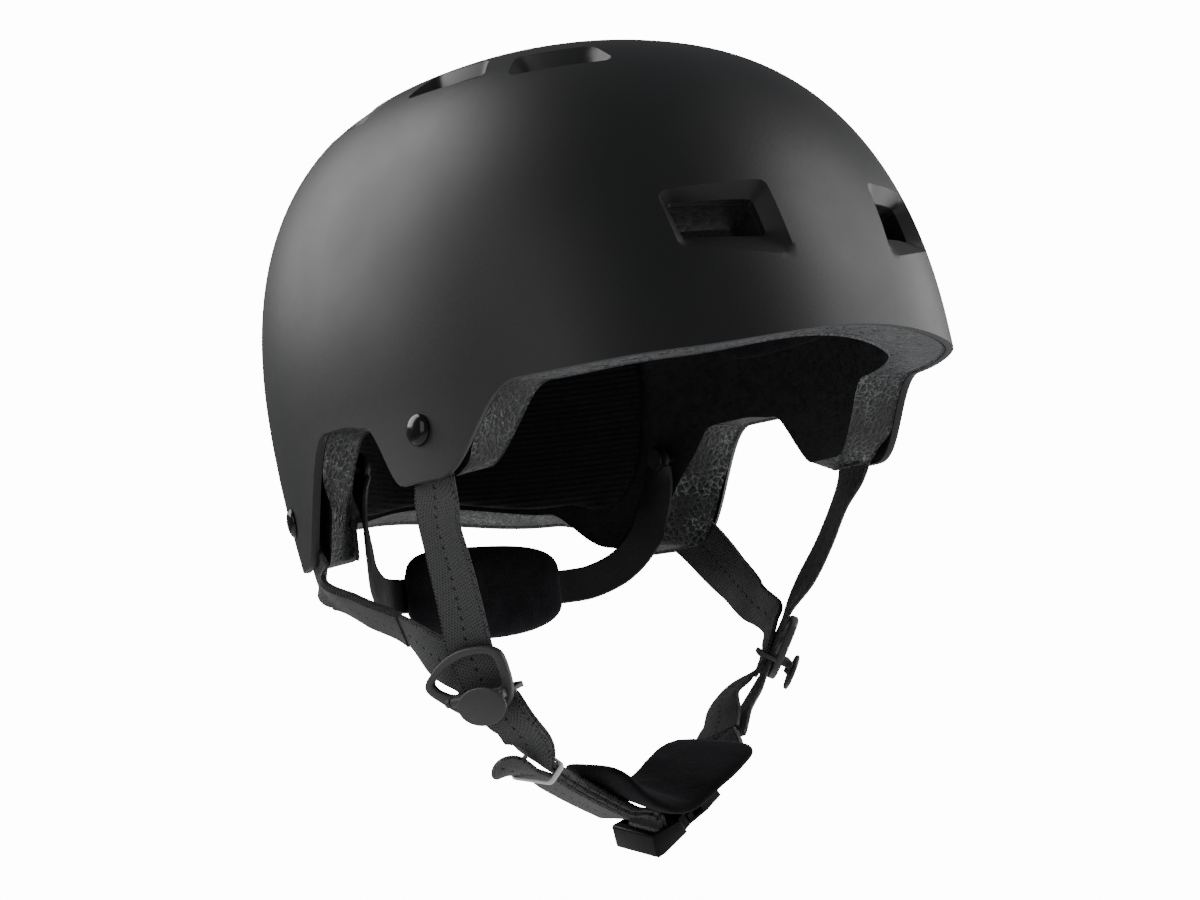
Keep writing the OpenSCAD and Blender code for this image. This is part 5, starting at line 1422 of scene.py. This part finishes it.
# %% [markdown]
# Padding is soft: full in the middle, thin and rounded at its sewn edge. Each pad is a closed
# skin whose thickness follows how near the edge is. A little noise keeps the surface from
# looking machined.
# %% Shape of a stuffed pad
def fullness(u, v, edge=0.3, power=4.0):
    """Thickness from 0 to 1 over a pad whose places run from 0 to 1 both ways."""
    crown_u = np.maximum(0, 1 - np.abs(2 * u - 1) ** power) ** 0.5
    crown_v = np.maximum(0, 1 - np.abs(2 * v - 1) ** power) ** 0.5
    return edge + (1 - edge) * crown_u * crown_v


def closed_grid(back, front):
    """A closed mesh from two grids of places with a shared border of side faces."""
    a, b = back.shape[:2]
    number = np.arange(a * b).reshape(a, b)
    cells = np.stack([number[:-1, :-1], number[1:, :-1], number[1:, 1:], number[:-1, 1:]], -1)
    faces = cells.reshape(-1, 4).tolist() + (cells[..., ::-1] + a * b).reshape(-1, 4).tolist()
    border = [*number[:, 0], *number[-1, 1:], *number[-2::-1, -1], *number[0, -2:0:-1]]
    for p, q in zip(border, border[1:] + border[:1]):
        faces.append([int(q), int(p), int(p) + a * b, int(q) + a * b])
    return np.concatenate([back.reshape(-1, 3), front.reshape(-1, 3)]), faces


def soft_noise(u, v, seed):
    """Low waves from -1 to 1 over a pad, the same ones for the same seed."""
    spin = np.random.default_rng(seed).uniform(0, 6.28, 8)
    return sum(math.cos(spin[k]) * np.sin((k + 1.7) * 2.1 * u + spin[k])
               * np.cos((k + 1.3) * 1.7 * v + spin[-k - 1]) for k in range(4)) / 4


# %% [markdown]
# Two covers, the nape pad's and the chin sling's, hang free in the open, so theirs are swollen
# by Blender's cloth simulation: pressure from inside, with the sewn edge held. The result is
# kept within a millimetre or so of the shape above.
# %% Swell a cover with cloth
PRESSURE, FRAMES = 4.0, 12


def inflate(piece, pinned, most=0.0012):
    """Blows up a cover with its pinned places held, then keeps the result near its solid."""
    rest = np.array([v.co for v in piece.data.vertices])
    group = piece.vertex_groups.new(name="held")
    group.add([int(i) for i in pinned], 1.0, "REPLACE")
    cloth = piece.modifiers.new("cover", "CLOTH")
    cloth.settings.vertex_group_mass = "held"
    cloth.settings.use_pressure = True
    cloth.settings.uniform_pressure_force = PRESSURE
    cloth.settings.quality = 5
    cloth.settings.mass = 0.15
    cloth.settings.tension_stiffness = cloth.settings.compression_stiffness = 25
    cloth.settings.shear_stiffness = 12
    cloth.settings.bending_stiffness = 0.6
    cloth.settings.effector_weights.gravity = 0
    cloth.collision_settings.use_collision = False
    cloth.point_cache.frame_end = FRAMES
    scene = bpy.context.scene
    for frame_number in range(1, FRAMES + 1):
        scene.frame_set(frame_number)
        bpy.context.view_layer.update()
    graph = bpy.context.evaluated_depsgraph_get()
    made = piece.evaluated_get(graph)
    blown = np.array([v.co for v in made.data.vertices])
    piece.modifiers.clear()
    piece.vertex_groups.clear()
    scene.frame_set(1)
    move = blown - rest
    far = np.linalg.norm(move, axis=1)
    move *= np.minimum(1, most / np.maximum(far, 1e-9))[:, None]
    piece.data.vertices.foreach_set("co", (rest + move).ravel())
    piece.data.update()
    print(piece.name, "moved by the cloth, mm: mean", round(float(far.mean() * 1000), 2),
          "most", round(float(far.max() * 1000), 2))
    return piece


# %% [markdown]
# Inside the liner there are a brow pad, two side pads and a ribbed pad at the back. They
# follow the liner's own inner skin, 1.7 mm off it for the hook dots between. The grid of a pad
# is closer near its edges, where it curves most.
# %% Pads on the liner
PAD_SEAT, PAD_THICK, CORNER_IN = 1.7, 6.0, 0.12
REAR_PAD_LOW, REAR_PAD_OFF_RIM = -26, 4.5


def toward_edges(share):
    """Moves evenly spread places from 0 to 1 closer together near both ends."""
    wave = np.cos(math.pi * share)
    return 0.5 - 0.5 * wave * (0.35 + 0.65 * np.abs(wave) ** 0.3)


def skin_pad(name, low, high, bottom, top, cover, seed, mirror=False, na=56, nb=24):
    """A crowned pad between two angles at its foot, two at its head, and two heights."""
    u, v = np.meshgrid(np.linspace(0, 1, na + 1), np.linspace(0, 1, nb + 1), indexing="ij")
    u, v = toward_edges(u), toward_edges(v)
    a = 0.5 + (u - 0.5) * (1 - CORNER_IN * (2 * v - 1) ** 4)
    b = 0.5 + (v - 0.5) * (1 - CORNER_IN * (2 * u - 1) ** 4)
    first, last = low[0] + (high[0] - low[0]) * b, low[1] + (high[1] - low[1]) * b
    t = first + (last - first) * a
    z0 = bottom(t) if callable(bottom) else bottom
    z = z0 + (top - z0) * b
    around = np.where(t > 180, t - 360, t)
    inset = liner_inset(around, z)
    full = fullness(u, v, 0.16, 3.2) * (1 + 0.05 * soft_noise(u * 3, v * 3, seed))
    rim = np.minimum(1, 6 * np.minimum(np.minimum(u, 1 - u), np.minimum(v, 1 - v)) + 0.35)
    back = skin(t, z, inset + PAD_SEAT + 0.5 * (1 - rim))
    front = skin(t, z, inset + PAD_SEAT + PAD_THICK * np.minimum(1.0, full))
    if mirror:
        back, front = back * [-1, 1, 1], front * [-1, 1, 1]
    points, faces = closed_grid(back, front)
    if mirror:
        faces = [face[::-1] for face in faces]
    return fix_normals(new_piece(name, points, faces, cover, crease=80))


# %% [markdown]
# The pads differ only in where they start and end and in their cover. The near side pad is the
# far one mirrored. The rear pad is wider at its head, and its foot follows the rim.
# %% The four pads round the head
def rear_pad_bottom(t):
    """The rear pad ends at a level, or a little above the rim where that is higher."""
    rim = rim_height(np.where(t > 180, t - 360, t))
    return np.maximum(REAR_PAD_LOW, rim + REAR_PAD_OFF_RIM)


brow_pad = {"low": (-40, 40), "high": (-40, 40), "bottom": 20, "top": 40, "cover": pad_cover,
            "seed": 2}
side_pad = {"low": (54, 106), "high": (54, 106), "bottom": 24, "top": 62, "cover": pad_cover,
            "seed": 3}
rear_pad = {"low": (137, 223), "high": (127, 233), "bottom": rear_pad_bottom, "top": 46,
            "cover": ribbed_cover, "seed": 5, "na": 80, "nb": 34}
PADS = (("brow_cushion", "brow_pad", brow_pad),
        ("side_cushion_far", "side_pad_left", side_pad),
        ("side_cushion_near", "side_pad_right", {**side_pad, "mirror": True}),
        ("rear_cushion", "rear_pad", rear_pad))
for name, node, measures in PADS:
    cushion = skin_pad(name, **measures)
    settle(cushion, "helmet", [node])

# %% [markdown]
# The crown pad is a small cap under the top of the dome. It is cut from the same inner skin:
# rings near the pole, once on the liner and once lower down, with a soft border between them.
# %% Crown pad
CAP_ROWS = (0.955, 0.9555, 0.957, 0.961, 0.967, 0.975, 0.983, 0.99, 0.996)
CAP_DROPS = (0.15, 0.42, 0.62, 0.8, 0.92, 1, 1, 1, 1)
cap_height = DOME_HEIGHT - (LINER_IN + LINER_THICK + PAD_SEAT)
turns = np.linspace(0, 360, 64, endpoint=False)
back_rows = [skin(turns, WAIST_HEIGHT + np.full_like(turns, row * cap_height),
                  DOME_HEIGHT - cap_height) for row in CAP_ROWS]
front_rows = [row - np.array([0, 0, PAD_THICK * drop]) for row, drop in zip(back_rows, CAP_DROPS)]
cap_top = np.array([0, CROWN_LEAN * cap_height, WAIST_HEIGHT + cap_height])
cap_points = np.concatenate([*back_rows, *front_rows, [cap_top, cap_top - [0, 0, PAD_THICK]]])
cap_faces, m, c = [], len(CAP_ROWS), len(turns)
for k in range(c):
    j = (k + 1) % c
    for r in range(m - 1):
        cap_faces.append([r * c + k, r * c + j, (r + 1) * c + j, (r + 1) * c + k])
        below, lower = (m + r) * c, (m + r + 1) * c
        cap_faces.append([below + k, lower + k, lower + j, below + j])
    cap_faces += [[k, m * c + k, m * c + j, j], [(m - 1) * c + k, (m - 1) * c + j, 2 * m * c],
                  [(2 * m - 1) * c + j, (2 * m - 1) * c + k, 2 * m * c + 1]]
crown = fix_normals(new_piece("crown_cushion", cap_points, cap_faces, pad_cover, crease=80))
settle(crown, "helmet", ["crown_pad"])

# %% [markdown]
# The nape cradle hangs on two pins at the rear corners: an arm each side, a bent plate and a
# crowned pad in front of it. It tilts as one, so all of it rides on the cradle's body. The arms
# are bands too, thicker and narrower than webbing, with a round eye at the pin.
# %% Arms of the nape cradle
PIN_AT, PIN_Z = 127.0, -7.0
pin_place = skin(np.array(PIN_AT), np.array(PIN_Z), liner_inset(np.array(PIN_AT), np.array(PIN_Z)))
ARM_WIDE, ARM_THICK, ARM_OFF_LINER, EYE_R = 13, 1.8, 5.9, 5.5
ARM_X, BEND_R, ARM_GAP = pin_place[0] - ARM_OFF_LINER, 150.0, 0.3
NAPE_MID = np.array([0, 92, -52.0])


def bend_y(x, radius):
    """How far back the bent plate lies, beside its middle."""
    return NAPE_MID[1] - BEND_R + np.sqrt(radius * radius - np.asarray(x) ** 2)


arm_end = [[[x, float(bend_y(x, BEND_R - ARM_GAP - ARM_THICK / 2)), NAPE_MID[2]], [0, 0, -1]]
           for x in (42, 34, 26)]
arm_stations = [[[ARM_X - dx, pin_place[1] + dy, PIN_Z - dz], wide] for dx, dy, dz, wide in (
    (0, 0.3, 2.5, [0, -1, 0.1]), (0.4, 1.6, 10, [0.35, -0.93, 0]),
    (2.7, 3.6, 20, [0.6, -0.8, -0.05]), (6.4, 7.6, 31, [0.6, -0.63, -0.46]),
    (12.6, 14.8, 39.5, [0.41, -0.32, -0.84]),
    (21.5, 22.3, 44, [0.28, -0.1, -0.94]))] + arm_end
arm_points, arm_faces, _ = band_mesh(arm_stations, width=ARM_WIDE, thick=ARM_THICK, per=10,
                                     groove=0)
eye = rod((ARM_X - ARM_THICK / 2, pin_place[1], PIN_Z),
          (ARM_X + ARM_THICK / 2, pin_place[1], PIN_Z), EYE_R, edge=0.3, sides=56)
for side, turn in (("left", np.eye(3)), ("right", np.diag([-1.0, 1, 1]))):
    arm = hard_piece("nape_arm_" + side, [(arm_points, arm_faces), eye], turn, (0, 0, 0),
                     cradle_plastic, crease=45)
    settle(arm, "cradle", ["cradle_arm_" + side])

# %% [markdown]
# The plate and its pad share one outline, a soft rectangle that is drawn in a little at its
# lower corners. Rings of that outline, bigger and smaller, make both of them, as a lathe would.
# %% Plate behind the nape pad
NAPE_W, NAPE_H, NAPE_T, PLATE_IN, PAD_OFF = 76.0, 36.0, 8.0, 3.4, 2.4
PLATE_RINGS = ((0.0, 0.25), (0.5, 0.25), (0.97, 0.25), (0.995, 0.6), (1.0, 0.9), (0.995, 1.2),
               (0.97, 1.55), (0.5, 1.55), (0.0, 1.55))


def nape_outline(a, grow=0.0):
    """The outline across and up, at an angle, bigger or smaller by a margin."""
    c, d = np.cos(a), np.sin(a)
    k = (np.abs(c) ** 3.4 + np.abs(d) ** 3.4) ** (-1 / 3.4)
    pulled = np.where(d < 0, 0.16 * np.abs(c) ** 2, 0.03)
    return ((NAPE_W / 2 + grow) * c * k * (1 - 0.035 * np.cos(2 * a) ** 2),
            (NAPE_H / 2 + grow) * d * k * (1 - pulled))


around = np.linspace(0, 2 * math.pi, 96, endpoint=False)


def lathe_rings(rings, close_first, close_last):
    """Closed mesh from rings with equal counts and a middle point at each end."""
    count = len(rings[0])
    points = np.concatenate([*rings, [close_first, close_last]])
    faces = [[r * count + k, r * count + (k + 1) % count, (r + 1) * count + (k + 1) % count,
              (r + 1) * count + k] for r in range(len(rings) - 1) for k in range(count)]
    end = len(rings) * count
    faces += [[(k + 1) % count, k, end] for k in range(count)]
    faces += [[end - count + k, end - count + (k + 1) % count, end + 1] for k in range(count)]
    return points, faces


def nape_ring(outline, share, radius, depth=0.0):
    """One ring of the plate or the pad: a share of the outline, bent and moved forward."""
    x, z = outline[0] * share, outline[1] * share
    return np.stack([x, bend_y(x, radius) - depth, NAPE_MID[2] + z], 1)


plate_outline = nape_outline(around, -PLATE_IN)
yoke_rings = [nape_ring(plate_outline, max(share, 0.02), BEND_R + out)
              for share, out in PLATE_RINGS]
yoke_mesh = lathe_rings(yoke_rings, yoke_rings[0].mean(0), yoke_rings[-1].mean(0))
yoke = fix_normals(new_piece("nape_plate", *yoke_mesh, cradle_plastic, crease=50))
settle(yoke, "cradle", ["nape_yoke"])

# %% [markdown]
# The nape pad is flat at the back and full in front. Its back and the first ring of its side
# are held while the cloth step swells the rest.
# %% Nape pad
PAD_BACK = (0.02, 0.4, 0.8, 0.97)
PAD_FRONT = ((0.995, 0.1), (1.0, 0.24), (0.99, 0.4), (0.965, 0.55), (0.92, 0.7), (0.85, 0.82),
             (0.74, 0.92), (0.58, 0.98), (0.38, 1.0), (0.18, 1.0), (0.02, 1.0))
pad_outline = nape_outline(around)
pad_rings = [nape_ring(pad_outline, share, BEND_R - PAD_OFF) for share in PAD_BACK]
for share, full in PAD_FRONT:
    swell = 1 + 0.03 * np.sin(5 * around + 9 * share) * (share > 0.3) * (share < 0.9)
    depth = NAPE_T * np.minimum(full * swell, 1.0)
    pad_rings.append(nape_ring(pad_outline, share, BEND_R - PAD_OFF, depth))
nape_mesh = lathe_rings(pad_rings, pad_rings[0].mean(0), pad_rings[-1].mean(0))
nape = fix_normals(new_piece("nape_cushion", *nape_mesh, pad_cover, crease=80))
inflate(nape, range(len(around) * (len(PAD_BACK) + 1)))
settle(nape, "cradle", ["nape_pad"])

# %% [markdown]
# The chin pad is a fleece sling that lies over the socket and the far strap. It is a soft band,
# rounded across and thin at both ends, with a shallow crease along the middle where it folds.
# %% Chin pad
SLING_HALF, SLING_THICK, SLING_MOST, SIDES = 21, 3.0, 0.0006, 64
chin_pad_keys = [[[-32, -3, -124.2], [-0.1, -0.98, -0.14]],
                 [[-18.5, -4, -133.4], [-0.1, -0.96, -0.26]],
                 [[-5, -6, -137.2], [-0.1, -0.95, -0.28]], [[9, -8.5, -129.5], [-0.1, -0.94, -0.3]],
                 [[26, -6.5, -119.9], [-0.12, -0.93, -0.32]]]
path = swept(chin_pad_keys, PER_STATION)
_, wides, ups = path_frames(path)
sling_rings, m = [], len(path)
for i in range(m):
    s = i / (m - 1)
    full = 0.34 + 0.66 * math.sqrt(max(0, 1 - abs(2 * s - 1) ** 3.4))
    end = min(1, max(0, (abs(2 * s - 1) - 0.8) / 0.2))
    narrow = 0.62 + 0.38 * math.sqrt(1 - end * end)
    ring = []
    for a in np.linspace(0, 2 * math.pi, SIDES, endpoint=False):
        c, d = math.cos(a), math.sin(a)
        crease = 1 - 0.1 * math.exp(-(c / 0.16) ** 2) * (d > 0)
        pile = 1 + 0.035 * math.sin(7 * c + 11 * s) * abs(d)
        across = SLING_HALF * narrow * (0.9 + 0.1 * full) * math.copysign(abs(c) ** 0.6, c)
        off = SLING_THICK * full * crease * min(1, pile) * math.copysign(abs(d) ** 0.75, d)
        ring.append(path[i][0] + wides[i] * across + ups[i] * off)
    sling_rings.append(np.array(ring))
sling_mesh = lathe_rings(sling_rings, path[0][0], path[-1][0])
sling = fix_normals(new_piece("chin_cushion", *sling_mesh, chin_cover, crease=80))
held = [i for i in range(SIDES * m)
        if i % SIDES in (0, SIDES // 2) or not SIDES <= i < SIDES * (m - 1)]
inflate(sling, held, most=SLING_MOST)
settle(sling, "chin_left", ["chin_pad"])

# %% [markdown]
# The rivets are turned domes. A profile of radius and height is swung round the skin's own
# outward direction at each rivet, with a shank that runs in to the anchor plate.
# %% Rivets
DOME = [(0.02, 2.4), (1.2, 2.36), (2.4, 2.2), (3.5, 1.92), (4.5, 1.5), (5.2, 1.0), (5.55, 0.55),
        (5.6, 0.25), (5.5, 0.06), (5.2, 0.02), (2.0, 0.02), (2.0, -6.7), (0.02, -6.7)]


def dome(t, z, side):
    """A rivet at an angle and a height of the skin, on either side of the helmet."""
    t, z = np.array(float(t)), np.array(float(z))
    place, out = skin(t, z, 0.0), outward(t, z, 0.0)
    across = along_skin(t, z, 0.0)
    turn = np.stack([across, np.cross(out, across), out], axis=1)
    spins = np.linspace(0, 2 * math.pi, 72, endpoint=False)
    rings = [np.stack([r * np.cos(spins), r * np.sin(spins), np.full_like(spins, h)], 1)
             for r, h in DOME]
    points, faces = placed([lathe_rings(rings, rings[0].mean(0), rings[-1].mean(0))], turn, place)
    return np.array(points) * [side, 1, 1], faces


for name, node, (t, z) in (("front_rivet_domes", "front_rivets", FRONT_RIVET),
                           ("rear_rivet_domes", "rear_rivets", REAR_RIVET)):
    shapes = [dome(t, z, 1), dome(t, z, -1)]
    domes = fix_normals(hard_piece(name, shapes, np.eye(3), (0, 0, 0), rivet_gloss, crease=40))
    settle(domes, "helmet", [node])

# %% [markdown]
# A few small rigid parts keep their exact CAD shape: the anchor plates, the hook dots, the pins
# and the prongs. They are hidden or tiny, so only their material changes.
# %% Materials on the parts that keep their CAD shape
pin_nylon = moulded("pin_nylon", (0.018, 0.018, 0.019), 0.35)
for node, material in (("front_anchors", hidden_grey), ("rear_anchors", hidden_grey),
                       ("hook_dots", hook_fabric), ("divider_pins", pin_nylon),
                       ("cradle_pins", pin_nylon), ("clip_prongs", buckle_nylon)):
    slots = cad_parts[node].data.materials
    if len(slots) == 0:
        slots.append(material)
    for index in range(len(slots)):
        slots[index] = material
    print(node, "keeps its CAD shape, in", material.name)

# %% [markdown]
# The photograph is taken in soft daylight before a white ground. The world gives the fill. The
# ground that the camera sees is far brighter than the light it sends out, which a light path
# node keeps apart.
# %% World and floor
FILL, GROUND = 0.125, 14.0
FLOOR_HALF, FLOOR_Z = 3000, -420
world = bpy.data.worlds.new("white_ground")
bpy.context.scene.world = world
world.use_nodes = True
tree = world.node_tree
sky = tree.nodes["Background"]
sky.inputs["Color"].default_value = (0.93, 0.96, 1.0, 1)
sky.inputs["Strength"].default_value = FILL
seen = tree.nodes.new("ShaderNodeBackground")
seen.inputs["Color"].default_value = (1, 1, 1, 1)
seen.inputs["Strength"].default_value = GROUND
which = tree.nodes.new("ShaderNodeLightPath")
mixed = tree.nodes.new("ShaderNodeMixShader")
tree.links.new(which.outputs["Is Camera Ray"], mixed.inputs[0])
tree.links.new(sky.outputs[0], mixed.inputs[1])
tree.links.new(seen.outputs[0], mixed.inputs[2])
tree.links.new(mixed.outputs[0], tree.nodes["World Output"].inputs["Surface"])

floor_shade, shader = start_material("pale_floor", (0.9, 0.9, 0.9), 0.9)
floor_corners = [(x * FLOOR_HALF, y * FLOOR_HALF, FLOOR_Z)
                 for x, y in ((-1, -1), (1, -1), (1, 1), (-1, 1))]
floor = new_piece("floor", floor_corners, [[0, 1, 2, 3]], floor_shade)

# %% [markdown]
# The camera stands off the helmet's front right side, a little below it. Four large panels give
# the broad highlights on the shell and the thin ones on its edges. They are placed along the
# camera's own directions, so that each is easy to think of as left, right, near or high.
# %% Panels and camera
LENS_MM, SENSOR_MM, CLIP_NEAR, CLIP_FAR = 108.07, 36.0, 0.05, 30
CAMERA_AT = Vector((-0.8601, -0.9799, -0.1447))
back = Vector((-0.6534, -0.7501, -0.1026))
right = Vector((0.7568, -0.6433, -0.1160))
up = Vector((0.0210, -0.1535, 0.9879))
PANELS = (("left_window", (-1.15, -0.55, 0.7), (0, 0, 0), (1.0, 1.2), 15.2),
          ("near_left", (-1.0, 0.9, 0.35), (0, 0, -0.03), (0.6, 0.9), 2.0),
          ("right_window", (1.2, -0.05, 0.76), (0, 0, 0), (0.9, 1.0), 10),
          ("right_edge", (1.1, -0.8, 0.1), (0, 0, 0), (0.5, 1.0), 6))
for name, (along_right, along_back, along_up), aim, size, power in PANELS:
    light = bpy.data.lights.new(name, "AREA")
    light.shape, light.size, light.size_y = "RECTANGLE", size[0], size[1]
    light.energy = power
    lamp = bpy.data.objects.new(name, light)
    bpy.context.scene.collection.objects.link(lamp)
    place = right * along_right + back * along_back + up * along_up
    lamp.location = place
    lamp.rotation_euler = (Vector(aim) - place).to_track_quat("-Z", "Y").to_euler()
    print(name, "at, metres:", [round(v, 2) for v in place])

camera_data = bpy.data.cameras.new("photo_camera")
camera_data.lens, camera_data.sensor_width = LENS_MM, SENSOR_MM
camera_data.clip_start, camera_data.clip_end = CLIP_NEAR, CLIP_FAR
camera = bpy.data.objects.new("photo_camera", camera_data)
bpy.context.scene.collection.objects.link(camera)
camera_turn = Matrix((right, up, back)).transposed().to_4x4()
camera.matrix_world = Matrix.Translation(CAMERA_AT) @ camera_turn
bpy.context.scene.camera = camera
print("camera distance, metres:", round(CAMERA_AT.length, 3))
